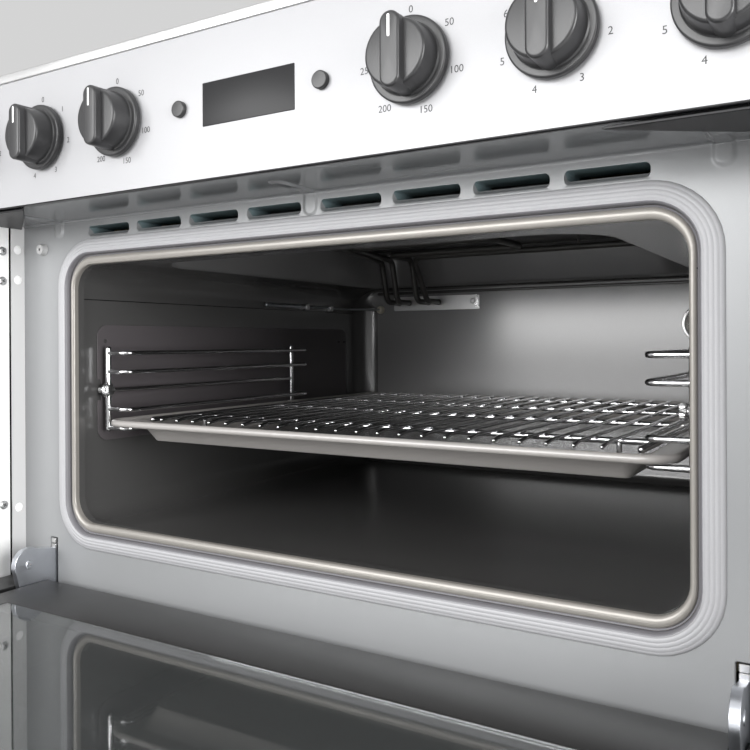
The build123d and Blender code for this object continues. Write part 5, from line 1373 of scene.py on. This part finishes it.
@dataclass(frozen=True)
class SideRack:
    """Welded wire rack on one side wall, with its eyelet and thumb screw."""

    name: str
    side: int
    rear: float
    low: float
    high: float
    runner_x: float
    runners: tuple[float, ...]
    screw_height: float
    x: float = 222.5
    front: float = 29.0
    screw_depth: float = 28.5
    upright: float = 2.3
    runner: float = 1.9
    bend: float = 7.0
    eyelet: float = 5.0
    eyelet_wire: float = 1.7
    wall: float = 231.0
    screw_tip: float = 218.5
    thread: Point = (2.75, 0.3, 1.4)
    knurl_sides: int = 72
    knurl_notches: int = 18
    knurl_depth: float = 0.05
    knurl_from: float = 4.3

    def build(self) -> None:
        """Builds the wires of the rack."""
        x, inner = self.side * self.x, self.side * self.runner_x
        wires = [Wire(((x, d, self.low), (x, d, self.high)), self.upright) for d in (self.front, self.rear)]
        wires += [Wire(((x, self.front, z), (inner, self.front, z), (inner, self.rear, z),
                        (x, self.rear, z)), self.runner, self.bend) for z in self.runners]
        z = self.screw_height
        wires.append(Wire(((x, self.front + self.eyelet, z), (x, self.rear, z)), self.runner))
        wires.append(Wire(((x, self.rear, z), (self.side * self.wall, self.rear, z)), self.runner))
        ring = arc((self.screw_depth, z), self.eyelet, 0.0, 352.0, 24)
        wires.append(Wire(tuple((x, depth, height) for depth, height in ring), self.eyelet_wire))
        build_wires(f"{self.name}_wires", FIXED, "chrome_wire", wires, (self.name,))

    def screw(self, shape: Shape) -> None:
        """Adds the thumb screw: a knurled head, then a shank whose radius swings with the thread.

        The shank's radius is the thread's middle radius + its swing * cos(2 pi * height / pitch).

        Args:
            shape: the screws' surfaces.
        """
        head = np.array([(0.0, 0.0), (3.4, 0.0), (4.4, 0.6), (4.6, 1.2), (4.6, 3.4), (4.2, 4.0), (3.1, 4.2)])
        middle, swing, pitch = self.thread
        along = np.arange(4.4, self.wall - self.screw_tip + 1.0, pitch / 4)
        shank = np.stack([middle + swing * np.cos(along * 2 * np.pi / pitch), along], -1)
        place = (self.side * self.screw_tip, self.screw_depth, self.screw_height)
        way = (self.side, 0.0, 0.0)
        grid = turned(head, place, way, self.knurl_sides)
        angle = np.radians(np.arange(self.knurl_sides) * 360.0 / self.knurl_sides)
        notches = np.cos(angle * self.knurl_notches)[None, :, None]
        knurl = 1 + self.knurl_depth * notches * (head[:, 0] > self.knurl_from)[:, None, None]
        axis = np.array(place[1:])
        grid[..., 1:] = axis + (grid[..., 1:] - axis) * knurl
        shape.surface(grid, wrap=(False, True))
        shape.surface(turned(shank, place, way, 24), wrap=(False, True))


@dataclass(frozen=True)
class GrillPan:
    """Grill pan: rolled rim, flat flange and a tapered well, its floor inside darkened as painted shade."""

    half: Pair = (219.0, 205.5)
    well_half: Pair = (200.0, 188.5)
    middle: float = 222.5
    rim_radius: float = 2.7
    rim_height: float = 643.5
    corner: float = 20.7
    well_corner: float = 16.0
    bottom: float = 628.0
    slope: float = 12.1
    floor_run: float = 3.5
    flange_run: float = 6.0
    fold: float = 3.0
    floor_rings: int = 4
    sheet: float = 1.0

    def build(self) -> None:
        """Loops from the middle of the top face down the well's inside, round the rim and back under."""
        level = Place.LEVEL
        rim = Loop((0.0, self.middle), self.half, self.corner)
        well = Loop((0.0, self.middle), self.well_half, self.well_corner)
        top, floor = self.rim_height + self.sheet / 2, self.bottom + self.sheet
        upper = bent_flat([(-self.slope - self.floor_run, floor), (-self.slope, floor), (0.0, top),
                           (self.flange_run, top)], self.fold)
        roll = arc((-self.rim_radius, self.rim_height), self.rim_radius, 170, -170, 20)
        rings = [level.put(well.points(o), z) for o, z in upper]
        rings += [level.put(rim.points(o), z) for o, z in roll]
        rings += [level.put(well.points(o), z - self.sheet) for o, z in upper[::-1]]
        shape = Shape()
        shape.rings(rings[self.floor_rings - 1:])
        # The well's floor inside takes the dark enamel: painted shade.
        shape.rings(rings[:self.floor_rings], tint=1)
        shape.cap(rings[0], (0.0, self.middle, floor), tint=1)
        shape.cap(rings[-1], (0.0, self.middle, self.bottom))
        shape.piece("grill_pan_pressing", "grill_pan_set", ["pan_enamel", "dark_enamel"], ("grill_pan",))


@dataclass(frozen=True)
class GrillGrid:
    """Chromed grid in the pan: long wires that dip a little at the front, cross wires, rods and feet."""

    count: int = 22
    pitch: float = 16.6
    height: float = 647.4
    radius: float = 1.3
    front: float = 50.0
    rear: float = 398.0
    nose: float = 10.0
    nose_bend: float = 3.0
    drop: float = 1.4
    weld: float = 0.5
    cross_radius: float = 2.0
    cross_depths: tuple[float, ...] = (87.0, 200.0, 300.0, 392.0)
    rod_x: float = 194.0
    rod_radius: float = 2.4
    foot_x: float = 172.0
    foot_low: float = 630.8
    foot_radius: float = 1.7

    def build(self) -> None:
        """Builds every wire of the grid."""
        low = self.height - self.radius - self.cross_radius + self.weld
        wires = []
        for x in (np.arange(self.count) - (self.count - 1) / 2) * self.pitch:
            route = ((x, self.front - self.nose, self.height - self.drop), (x, self.front, self.height),
                     (x, self.rear, self.height))
            wires.append(Wire(route, self.radius, self.nose_bend))
        wires += [Wire(((-self.rod_x, depth, low), (self.rod_x, depth, low)), self.cross_radius)
                  for depth in self.cross_depths]
        for side in (-1, 1):
            x, foot = side * self.rod_x, side * self.foot_x
            wires.append(Wire(((x, self.front, low), (x, self.rear, low)), self.rod_radius))
            wires += [Wire(((foot, depth, self.foot_low), (foot, depth, low)), self.foot_radius)
                      for depth in (self.cross_depths[0], self.cross_depths[-1])]
        build_wires("grill_grid_wires", "grill_pan_set", "chrome_wire", wires, ("grill_grid",))


@dataclass(frozen=True)
class MainShelf:
    """Wire shelf of the main oven."""

    count: int = 19
    pitch: float = 22.0
    half_width: float = 216.0
    front: float = 20.0
    rear: float = 386.0
    rod_height: float = 239.7
    rod_radius: float = 2.5
    rod_inset: float = 8.0
    middle_rod: float = 200.0
    weld: float = 0.5
    radius: float = 1.3

    def build(self) -> None:
        """Builds the bars, the rods under them and the side rods."""
        high = self.rod_height + self.rod_radius + self.radius - self.weld
        wires = [Wire(((x, self.front, high), (x, self.rear, high)), self.radius)
                 for x in (np.arange(self.count) - (self.count - 1) / 2) * self.pitch]
        side, z = self.half_width, self.rod_height
        wires += [Wire(((-side, d, z), (side, d, z)), self.rod_radius)
                  for d in (self.front + self.rod_inset, self.middle_rod, self.rear - self.rod_inset)]
        wires += [Wire(((x, self.front, z), (x, self.rear, z)), self.rod_radius) for x in (-side, side)]
        build_wires("main_shelf_wires", "main_shelf_body", "chrome_wire", wires, ("main_shelf",))


@dataclass(frozen=True)
class Probe:
    """Thermostat probe: capillary from its gland along the left wall, its bulb and two clips."""

    height: float = 746.6
    gland_x: float = -205.0
    rear: float = 434.0
    turn: float = 405.0
    x: float = -229.5
    wall: float = -231.9
    front: float = 242.0
    bulb_end: float = 300.0
    bulb_radius: float = 2.2
    tube_radius: float = 1.1
    tube_bend: float = 11.0
    slant: float = 12.0
    clips: Pair = (312.0, 359.0)
    clip_half: Pair = (3.0, 3.5)
    clip_corner: float = 1.4
    clip_reach: float = 2.6
    clip_round: float = 0.5

    def build(self) -> None:
        """Builds the capillary and bulb, the clips and the gland."""
        z = self.height
        route = ((self.gland_x, self.rear, z), (self.gland_x, self.turn + self.slant, z),
                 (self.x, self.turn - self.slant, z), (self.x, self.bulb_end, z))
        bulb = ((self.x, self.bulb_end, z), (self.x, self.front, z))
        build_wires("probe_tube", FIXED, "hinge_steel",
                    [Wire(route, self.tube_radius, self.tube_bend), Wire(bulb, self.bulb_radius)],
                    ("thermostat_probe",))
        shape, top, soft = Shape(), self.x + self.clip_reach, self.clip_round
        for depth in self.clips:
            outline = Loop((depth, z), self.clip_half, self.clip_corner, 6, 2)
            rings = [Place.SIDE.put(outline.points(offset), x)
                     for offset, x in ((0.0, self.wall), (0.0, top - soft), (-soft, top))]
            shape.rings(rings)
            shape.cap(rings[-1], (top, depth, z), steps=1)
            shape.cap(rings[0], (self.wall, depth, z), steps=1)
        gland = np.array([(0.0, 5.0), (3.2, 5.0), (4.2, 4.2), (5.0, 0.0), (0.0, 0.0)])
        shape.surface(turned(gland, (self.gland_x, self.rear, z), FORWARD, 24), wrap=(False, True), tint=1)
        shape.piece("probe_clips", FIXED, ["screw_steel", "switch_body"])


@dataclass(frozen=True)
class Lamp:
    """Oven lamp: a bright bezel and a domed glass with fine ribs."""

    height: float
    x: float = 165.0
    rear: float = 434.0
    glass_radius: float = 16.0
    depth: float = 7.0
    glass_edge: float = 1.5
    glass_back: float = 0.6
    rib: float = 0.12
    rib_pitch: float = 2.4

    def build(self, bezels: Shape, glasses: Shape) -> None:
        """Adds the turned surfaces: the dome is a half ellipse with the ribs as a cosine on it.

        Args:
            bezels: surfaces of the bezels.
            glasses: surfaces of the glasses.
        """
        centre = (self.x, self.rear, self.height)
        bezel = np.array([(15.0, 0.0), (19.0, 0.0), (19.0, 1.6), (18.2, 2.4), (16.6, 2.6), (16.0, 2.0)])
        bezels.surface(turned(bezel, centre, FORWARD), wrap=(True, True))
        radius = np.linspace(self.glass_radius, 0.0, 40)
        swell = np.sqrt(np.clip(1 - (radius / self.glass_radius) ** 2, 0, 1))
        dome = self.glass_edge + (self.depth - self.glass_edge) * swell
        rib = self.rib * np.cos(radius * 2 * np.pi / self.rib_pitch)
        profile = np.concatenate([np.stack([radius, dome + rib], -1),
                                  [(0.0, self.glass_back), (self.glass_radius, self.glass_back)]])
        glasses.surface(turned(profile, centre, FORWARD), wrap=(True, True))


@dataclass(frozen=True)
class Screws:
    """Pan-head screws of one piece: where each stands and which way its head looks."""

    name: str
    places: tuple[Point, ...]
    way: Point
    radius: float = 3.6
    height: float = 1.8
    edge_share: float = 0.8
    crown: float = 0.1
    sunk: float = 0.4
    recess_share: Pair = (0.42, 0.1)
    recess_proud: float = 0.16
    replaces: tuple[str, ...] = ()

    def build(self) -> None:
        """Turned heads, each with its cross recess drawn as two dark bars just proud of the crown: painted
        shade.
        """
        shape = Shape()
        r, h, share = self.radius, self.height, self.edge_share
        edge = arc((r - share * h, (1 - share) * h), share * h, 80.0, 0.0, 6)
        head = np.concatenate([[(0.0, h + self.crown)], edge, [(r, -self.sunk)]])
        axis = np.array(self.way, float)
        across = np.cross(axis, (0.31, 0.44, 0.84))
        across /= np.linalg.norm(across)
        up = np.cross(axis, across)
        half_length, half_width = (part * r for part in self.recess_share)
        for place in self.places:
            shape.surface(turned(head, place, self.way, 24), wrap=(False, True))
            top = np.array(place) + axis * (h + self.recess_proud)
            for long, short, flip in ((across, up, False), (up, across, True)):
                ends = [top + a * half_length * long + b * half_width * short
                        for a in (-1, 1) for b in (-1, 1)]
                shape.surface(np.array(ends).reshape(2, 2, 3), tint=1, flip=flip)
        shape.piece(self.name, FIXED, ["screw_steel", "screw_recess_painted_shade"], self.replaces, closed=False)


@dataclass(frozen=True)
class HingeTrim:
    """Low domed rivets on each hinge arm, and the latch that fills the top of its slot."""

    x: float = 253.0
    pivots: Pair = (506.0, 112.0)
    rivet: Pair = (-24.0, 30.0)
    rivet_radius: float = 3.6
    plate: float = 2.5
    latch_half: float = 2.6
    latch: tuple[Pair, ...] = ((37.5, 40.9), (41.5, 45.4))
    latch_corner: float = 0.6
    latch_round: float = 0.4
    latch_front: float = -0.6
    latch_rear: float = 3.0

    def build(self) -> None:
        """Turned rivets on both faces of each arm, and two rounded blocks in each slot."""
        shape = Shape()
        r, soft, front = self.rivet_radius, self.latch_round, self.latch_front
        dome = np.array([(0.0, 0.95), (0.9, 0.9), (1.1, 0.75), (2.2, 0.7), (r - 0.4, 0.45), (r, 0.0),
                         (0.0, 0.0)])
        for side in (-1, 1):
            for pivot in self.pivots:
                for face in (-1, 1):
                    place = (side * self.x + face * self.plate, self.rivet[0], pivot + self.rivet[1])
                    shape.surface(turned(dome, place, (face, 0.0, 0.0), 32), wrap=(False, True))
                for low, high in self.latch:
                    block = Loop.between((side * self.x - self.latch_half, pivot + low),
                                         (side * self.x + self.latch_half, pivot + high),
                                         self.latch_corner, 2)
                    steps = ((0.0, self.latch_rear), (0.0, front + soft), (-soft, front))
                    rings = [Place.FRONT.put(block.points(offset), depth) for offset, depth in steps]
                    shape.rings(rings)
                    for ring in (rings[0], rings[-1]):
                        shape.cap(ring, (*block.centre[:1], ring[0, 1], block.centre[1]), steps=1)
        shape.piece("hinge_trim", FIXED, ["screw_steel"])


@dataclass(frozen=True)
class Buffers:
    """Rubber buffers on the front frame, each with an eye in the middle."""

    x: float = 263.8
    heights: Pair = (782.4, 462.0)
    radius: float = 4.5
    reach: float = 4.6

    def build(self) -> None:
        """Turned buffers."""
        r, h = self.radius, self.reach
        profile = np.array([(0.0, h - 2.4), (1.0, h - 2.4), (1.1, h - 0.3), (1.5, h), (r - 1.0, h),
                            (r - 0.45, h - 0.5), (r, 0.9), (r + 0.35, 0.4), (r + 0.35, 0.0), (0.0, 0.0)])
        shape = Shape()
        for side in (-1, 1):
            for height in self.heights:
                shape.surface(turned(profile, (side * self.x, 0.0, height), FORWARD, 36), wrap=(False, True))
        shape.piece("door_buffer_rubbers", FIXED, ["buffer_rubber"], ("door_buffers",))


@dataclass(frozen=True)
class Fascia:
    """Silver control panel with a black lower edge."""

    half_width: float = 300.0
    front: float = -62.0
    rear: float = -59.0
    low: float = 803.0
    high: float = 892.8
    edge: float = 1.3
    round: float = 1.1

    def build(self) -> None:
        """Section from the lower rear edge, round the front and up, carried across."""
        path = bent_flat([(self.rear, self.low), (self.front, self.low), (self.front, self.high),
                          (self.rear, self.high)], self.round)
        trim = self.low + self.edge
        first = int(np.argmax(path[:, 1] > trim))
        path = np.insert(path, first, [(self.front, trim)], 0)
        x = np.linspace(-self.half_width, self.half_width, 25)
        grid = np.stack(np.broadcast_arrays(x[None, :], path[:, :1], path[:, 1:]), -1)
        shape = Shape()
        shape.surface(grid[:first + 1], tint=1, flip=True)
        shape.surface(grid[first:], flip=True)
        shape.piece("fascia_face", FIXED, ["fascia_silver", "edge_black_and_painted_shade"], ("control_fascia",), closed=False)


@dataclass(frozen=True)
class Knob:
    """Control knob: a low skirt, a grip and a rounded bar with a white pointer."""

    node: str
    x: float
    marks: tuple[str, ...]
    sweep: float
    height: float = 848.0
    back: float = -63.2
    skirt_radius: float = 22.0
    skirt: float = 4.0
    grip_radius: float = 18.0
    grip: float = 17.0
    total: float = 22.0
    bar_half: Pair = (5.5, 18.5)
    bar_round: float = 1.6
    bar_foot: float = 0.3
    pointer_half: Pair = (0.7, 5.5)
    pointer_rise: float = 11.0
    pointer_sunk: float = 0.2
    dial_radius: float = 26.5
    panel: float = -62.0

    def build(self) -> None:
        """Builds the turned skirt and grip and the bar across them."""
        r, g, front = self.skirt_radius, self.grip_radius, Place.FRONT
        profile = np.concatenate([[(0.0, 0.0), (r - 0.4, 0.0), (r, 0.5)],
                                  arc((r - 1.2, self.skirt - 1.2), 1.2, 0, 90, 5),
                                  [(g + 0.5, self.skirt), (g - 0.2, self.skirt + 0.6)],
                                  arc((g - 2.9, self.grip - 1.8), 1.8, 10, 90, 5), [(0.0, self.grip)]])
        shape = Shape()
        shape.surface(turned(profile, (self.x, self.back, self.height), FORWARD, 64), wrap=(False, True))
        bar = Loop((self.x, self.height), self.bar_half, self.bar_half[0], side_steps=4)
        soft = self.bar_round
        steps = [(self.bar_foot, self.skirt), (0.0, self.total - soft),
                 *arc((-soft, self.total - soft), soft, 0, 90, 5)[1:]]
        rings = [front.put(bar.points(offset), self.back - reach) for offset, reach in steps]
        shape.rings(rings)
        for ring in (rings[0], rings[-1]):
            shape.cap(ring, (self.x, ring[0, 1], self.height), steps=1)
        line = Loop((self.x, self.height + self.pointer_rise), self.pointer_half, self.pointer_half[0], 4, 2)
        top = self.back - self.total
        proud = front.put(line.points(), top - PRINT_PROUD)
        shape.rings([front.put(line.points(), top + self.pointer_sunk), proud], tint=1)
        middle = (self.x, top - PRINT_PROUD, self.height + self.pointer_rise)
        shape.cap(proud, middle, tint=1, steps=1)
        body = body_of(frame["nodes"][self.node])[0]
        shape.piece(f"{self.node}_moulding", body, ["knob_plastic", "pointer_white"], (self.node,))

    def spots(self) -> list[tuple[str, float, float]]:
        """Text, x and z of each mark round the dial, clockwise from the top."""
        angles = np.radians(np.linspace(0.0, self.sweep, len(self.marks)))
        return [(text, self.x + self.dial_radius * math.sin(a), self.height + self.dial_radius * math.cos(a))
                for text, a in zip(self.marks, angles)]


def build_marks(knobs: list[Knob]) -> None:
    """Numbers printed on the panel round the knobs, as flat letters just proud of it.

    Args:
        knobs: the knobs whose dials are printed.
    """
    work = bmesh.new()
    for knob in knobs:
        for text, x, z in knob.spots():
            curve = bpy.data.curves.new("mark", "FONT")
            curve.body, curve.size = text, MARK_SIZE * MILLIMETRE
            curve.align_x, curve.align_y = "CENTER", "CENTER"
            holder = bpy.data.objects.new("mark", curve)
            letters = bpy.data.meshes.new_from_object(holder)
            place = Vector((x, knob.panel - PRINT_PROUD + FRONT_Y, z)) * MILLIMETRE
            letters.transform(Matrix.Translation(place) @ Matrix.Rotation(math.pi / 2, 4, "X"))
            work.from_mesh(letters)
            bpy.data.objects.remove(holder)
            bpy.data.curves.remove(curve)
            bpy.data.meshes.remove(letters)
    mesh = bpy.data.meshes.new("dial_marks")
    work.to_mesh(mesh)
    work.free()
    hang(mesh, "dial_marks", FIXED, ["print_ink"])


@dataclass(frozen=True)
class Hob:
    """Ceramic hob: a rounded trim and the glass in it."""

    half_width: float = 300.0
    front: float = -62.0
    rear: float = 550.0
    low: float = 893.0
    high: float = 900.0
    trim_drop: float = 0.6
    corner: float = 10.0
    trim: float = 9.0
    gap: float = 0.3
    sunk: float = 4.0
    under: float = 2.0
    trim_round: float = 0.9
    glass_corner: float = 5.0
    glass_round: float = 0.8
    glass_run: float = 3.0

    def build(self) -> None:
        """Builds the trim's rings and the glass with its softened edge."""
        level = Place.LEVEL
        rim = Loop.between((-self.half_width, self.front), (self.half_width, self.rear), self.corner)
        top = self.high - self.trim_drop
        path = bent_flat([(-self.under, self.low), (0.0, self.low), (0.0, top), (-self.trim, top),
                          (-self.trim, self.high - self.sunk)], self.trim_round)
        shape = Shape()
        shape.rings([level.put(rim.points(o), z) for o, z in path], flip=True)
        shape.piece("hob_trim", FIXED, ["handle_metal"], ("hob_tray",), closed=False)
        inset = self.trim + self.gap
        plate = Loop.between((-self.half_width + inset, self.front + inset),
                             (self.half_width - inset, self.rear - inset), self.glass_corner)
        edge = bent_flat([(0.0, self.high - self.sunk), (0.0, self.high), (-self.glass_run, self.high)],
                         self.glass_round)
        glass = Shape()
        rings = [level.put(plate.points(o), z) for o, z in edge]
        glass.rings(rings, flip=True)
        glass.cap(rings[-1], (*plate.centre, self.high), flip=True)
        glass.piece("hob_plate", FIXED, ["hob_ceramic"], ("hob_glass",), closed=False)


@dataclass(frozen=True)
class Handle:
    """Bar handle of a door on two flared posts."""

    door: str
    radius: float = 9.0
    dome: float = 0.35
    sides: int = 40
    post_x: float = 200.0
    post_radius: float = 6.5
    flare: tuple[Pair, ...] = ((0.0, 5.0), (0.8, 2.0), (2.4, 0.0))

    def build(self) -> None:
        """Builds the bar with rounded ends, and the posts from the bar to the glass."""
        node = f"{self.door}_door_handle"
        low, high = node_box(node)
        depth, bar = (low[1] + high[1]) / 2, low[2] + self.radius
        reach = high[0] - self.radius * self.dome
        shape = Shape()
        path = np.array([(-reach, depth, bar), (reach, depth, bar)])
        shape.surface(tube(path, self.radius, self.sides, self.dome), wrap=(False, True))
        rise, r = high[2] - bar, self.post_radius
        flare = [(r + out, rise - below) for out, below in self.flare]
        post = np.array([(0.0, 0.0), (r, 0.0), *flare, (0.0, rise)])
        for side in (-1, 1):
            grid = turned(post, (side * self.post_x, depth, bar), (0.0, 0.0, 1.0), 32)
            shape.surface(grid, wrap=(False, True))
        body = body_of(frame["nodes"][node])[0]
        shape.piece(f"{self.door}_handle_bar", body, ["handle_metal"], (node,))


@dataclass(frozen=True)
class PhotoCamera:
    """Camera of the photograph: its place in metres, its angles in radians, its lens in millimetres."""

    place: Point = (0.3024, -0.5065, 0.706)
    yaw: float = 0.542337
    pitch: float = -0.001649
    roll: float = -0.004876
    lens: float = 38.94
    sensor: float = 36.0
    shift: float = -0.04074
    near: float = 0.01

    def build(self) -> None:
        """Stands the camera up along its view, then rolls it about that."""
        yaw, pitch, roll = self.yaw, self.pitch, self.roll
        flat = math.cos(pitch)
        forward = np.array([-math.sin(yaw) * flat, math.cos(yaw) * flat, math.sin(pitch)])
        level = np.array([math.cos(yaw), math.sin(yaw), 0.0])
        above = np.cross(level, forward)
        right = math.cos(roll) * level + math.sin(roll) * above
        up = -math.sin(roll) * level + math.cos(roll) * above
        data = bpy.data.cameras.new("camera")
        data.lens, data.sensor_width = self.lens, self.sensor
        data.shift_y, data.clip_start = self.shift, self.near
        made = bpy.data.objects.new("camera", data)
        bpy.context.scene.collection.objects.link(made)
        turn = Matrix([[right[i], up[i], -forward[i]] for i in range(3)]).to_4x4()
        made.matrix_world = Matrix.Translation(self.place) @ turn
        bpy.context.scene.camera = made


@dataclass(frozen=True)
class Softbox:
    """Rectangular soft lamp, in metres, that looks at a point."""

    name: str
    place: Point
    aim: Point
    size: Pair
    power: float

    def build(self) -> None:
        """Builds the lamp, out of the camera's sight."""
        data = bpy.data.lights.new(self.name, "AREA")
        data.shape, data.size, data.size_y, data.energy = "RECTANGLE", self.size[0], self.size[1], self.power
        made = bpy.data.objects.new(self.name, data)
        bpy.context.scene.collection.objects.link(made)
        turn = (Vector(self.place) - Vector(self.aim)).to_track_quat("Z", "Y").to_matrix().to_4x4()
        made.matrix_world = Matrix.Translation(self.place) @ turn
        made.visible_camera = False


SOFTBOXES: tuple[Softbox, ...] = (
    Softbox("front_left_box", (-0.8, -2.1, 1.2), (0.0, 0.1, 0.7), (1.6, 0.95), 48.0),
    Softbox("front_fill_box", (0.3, -1.9, 1.5), (0.0, 0.2, 0.6), (1.0, 0.8), 16.0),
    Softbox("right_box", (2.2, -0.75, 0.9), (-0.3, -0.1, 0.7), (1.0, 1.2), 62.0),
    Softbox("top_box", (0.0, -0.2, 2.6), (0.0, 0.0, 0.5), (2.2, 2.2), 8.0),
    Softbox("rear_box", (-0.6, 2.6, 1.6), (0.0, 0.2, 0.5), (1.8, 1.4), 14.0),
)


@dataclass(frozen=True)
class Studio:
    """Pale floor that fades into a pale backdrop, in metres."""

    strength: float = 0.65
    reach: float = 14.0
    floor_grey: float = 0.72
    floor_rough: float = 0.6
    fade: Pair = (1.2, 4.5)

    def build_world(self) -> None:
        """White light from all round; the camera itself sees the backdrop's grey."""
        world = bpy.data.worlds.new("studio")
        bpy.context.scene.world = world
        world.use_nodes = True
        tree = Tree(world.node_tree)
        plain = world.node_tree.nodes["Background"]
        plain.inputs["Color"].default_value = (1.0, 1.0, 1.0, 1.0)
        plain.inputs["Strength"].default_value = self.strength
        seen = tree.node("Background", {"Color": BACKDROP, "Strength": 1.0})
        rays = tree.node("LightPath").outputs
        share = tree.math("MAXIMUM", rays["Is Camera Ray"], rays["Is Transmission Ray"])
        mixed = tree.node("MixShader", {0: share, 1: plain.outputs[0], 2: seen.outputs[0]})
        tree.feed(world.node_tree.nodes["World Output"].inputs["Surface"], mixed.outputs[0])

    def floor_paint(self) -> bpy.types.Material:
        """Builds the floor's material, which turns into the backdrop's grey far from the middle.

        Returns:
            The material.
        """
        paint = bpy.data.materials.new("floor_paint")
        paint.use_nodes = True
        tree = Tree(paint.node_tree)
        shader = paint.node_tree.nodes["Principled BSDF"]
        shader.inputs["Base Color"].default_value = (*(self.floor_grey,) * 3, 1.0)
        shader.inputs["Roughness"].default_value = self.floor_rough
        place = tree.node("TexCoord").outputs["Object"]
        distance = tree.node("VectorMath", {0: place}, operation="LENGTH").outputs["Value"]
        glow = tree.node("Emission", {"Color": BACKDROP, "Strength": 1.0})
        mixed = tree.node("MixShader", {0: tree.ramp(distance, *self.fade), 1: shader.outputs[0],
                                        2: glow.outputs[0]})
        tree.feed(paint.node_tree.nodes["Material Output"].inputs["Surface"], mixed.outputs[0])
        return paint

    def build(self) -> None:
        """Builds the world's light and the floor."""
        scene, reach = bpy.context.scene, self.reach
        scene.view_settings.view_transform = "Standard"
        self.build_world()
        mesh = bpy.data.meshes.new("floor")
        corners = [(a * reach, b * reach, 0) for a, b in ((-1, -1), (1, -1), (1, 1), (-1, 1))]
        mesh.from_pydata(corners, [], [(0, 1, 2, 3)])
        floor = bpy.data.objects.new("floor", mesh)
        scene.collection.objects.link(floor)
        mesh.materials.append(self.floor_paint())


def build_top_oven(mouth: Mouth) -> None:
    """Top oven: liner, ceiling, element, probe, pan and grid.

    Args:
        mouth: the oven's mouth.
    """
    cavity = Cavity(mouth.low, mouth.high, TOP_SEAM)
    liner = Shape()
    cavity.build_half(liner, False)
    liner.piece("top_liner_skin", FIXED, ENAMELS, ("top_oven_liner",), closed=False)
    GrillCeiling(cavity).build()
    GrillElement().build()
    Probe().build()
    GrillPan().build()
    GrillGrid().build()


def build_main_oven(mouth: Mouth) -> None:
    """Main oven: liner and shelf.

    Args:
        mouth: the oven's mouth.
    """
    cavity = Cavity(mouth.low, mouth.high, (mouth.low + mouth.high) / 2)
    liner = Shape()
    for upper in (False, True):
        cavity.build_half(liner, upper)
    liner.piece("main_liner_skin", FIXED, ENAMELS, ("main_oven_liner",), closed=False)
    MainShelf().build()


def build_racks() -> None:
    """Side racks of both ovens and their thumb screws."""
    top_runners = tuple(699.0 - step * 15.1 for step in (0, 1, 3, 4))
    main_runners = tuple(185.0 + step * 50.0 for step in range(5))
    screws = Shape()
    for side, name in ((-1, "left"), (1, "right")):
        # The right-hand top rack stands 3 mm nearer to its wall, as the photograph hides its front upright.
        top_rack = SideRack(f"top_rack_{name}", side, rear=274.0, low=637.5, high=702.3, runner_x=201.0,
                            runners=top_runners, screw_height=669.0, x=224.0 + 1.5 * side)
        main_rack = SideRack(f"main_rack_{name}", side, rear=372.0, low=170.0, high=408.0, runner_x=205.0,
                             runners=main_runners, screw_height=310.0)
        for rack in (top_rack, main_rack):
            rack.build()
            rack.screw(screws)
    screws.piece("thumb_screws", FIXED, ["screw_steel"], ("rack_thumb_screws",))


def build_controls() -> None:
    """Control panel: fascia, knobs and printed dials."""
    Fascia().build()
    hob_marks = ("0", "1", "2", "3", "4", "5", "6")
    oven_marks = ("0", "50", "100", "150", "200", "250")
    nodes = ("knob_rear_left", "knob_front_left", "knob_top_oven", "knob_main_oven", "knob_front_right",
             "knob_rear_right")
    places = (-255.0, -181.0, -107.0, 107.0, 181.0, 255.0)
    knobs = []
    for node, x in zip(nodes, places):
        oven = "oven" in node
        knobs.append(Knob(node, x, oven_marks if oven else hob_marks, 270.0 if oven else 300.0))
    for knob in knobs:
        knob.build()
    build_marks(knobs)


def build_lamps() -> None:
    """Lamps of both ovens."""
    bezels, glasses = Shape(), Shape()
    for height in (724.0, 405.0):
        Lamp(height).build(bezels, glasses)
    bezels.piece("lamp_bezels", FIXED, ["screw_steel"])
    glasses.piece("lamp_glasses", FIXED, ["lamp_glass"], ("oven_lamps",))


def build_fasteners() -> None:
    """Screws of the posts and the rear panel."""
    post = tuple((-289.8, -19.5, z) for z in (781.3, 757.3, 577.6, 424.0, 154.0))
    Screws("left_post_screws", post, (1.0, 0.0, 0.0), replaces=("frame_screws",)).build()
    Screws("right_post_screws", tuple((-x, d, z) for x, d, z in post), (-1.0, 0.0, 0.0)).build()
    rear = tuple((x, BODY_DEPTH, z) for x in (-288.0, 288.0) for z in (70.0, 270.0, 470.0, 670.0, 870.0))
    Screws("rear_panel_screws", rear, (0.0, 1.0, 0.0)).build()


ROUNDED: dict[str, float] = {
    "fascia_end_caps": 0.5, "side_liners": 0.3, "grill_bracket": 0.3, "hinge_arms": 0.4, "plinth": 0.8,
    "base_pan": 0.4, "rear_panel": 0.3, "fan_cover": 0.4, "timer_module": 0.5, "timer_button_minus": 0.4,
    "timer_button_plus": 0.4, "top_door_shell": 0.8, "main_door_shell": 0.8, "top_door_outer_glass": 0.6,
    "main_door_outer_glass": 0.6, "top_door_inner_glass": 0.5, "main_door_inner_glass": 0.5,
    "terminal_block": 1.0,
}


def main() -> None:
    """Builds the camera, the studio and the cooker's pieces in order."""
    logging.basicConfig(level=logging.INFO, format="%(message)s")
    PhotoCamera().build()
    Studio().build()
    for lamp in SOFTBOXES:
        lamp.build()
    dress_cad_nodes()
    mouths = (Mouth("top", 561.0, 771.5), Mouth("main", 145.0, 450.0))
    FrontFrame(mouths).build()
    for mouth in mouths:
        mouth.build_lip()
        mouth.build_seal()
    SidePanels().build()
    build_top_oven(mouths[0])
    build_main_oven(mouths[1])
    build_racks()
    build_lamps()
    Buffers().build()
    HingeTrim().build()
    build_controls()
    Hob().build()
    for door in ("top", "main"):
        Handle(door).build()
    build_fasteners()
    for node, width in ROUNDED.items():
        rounded_copy(node, width)


if __name__ == "__main__":
    main()
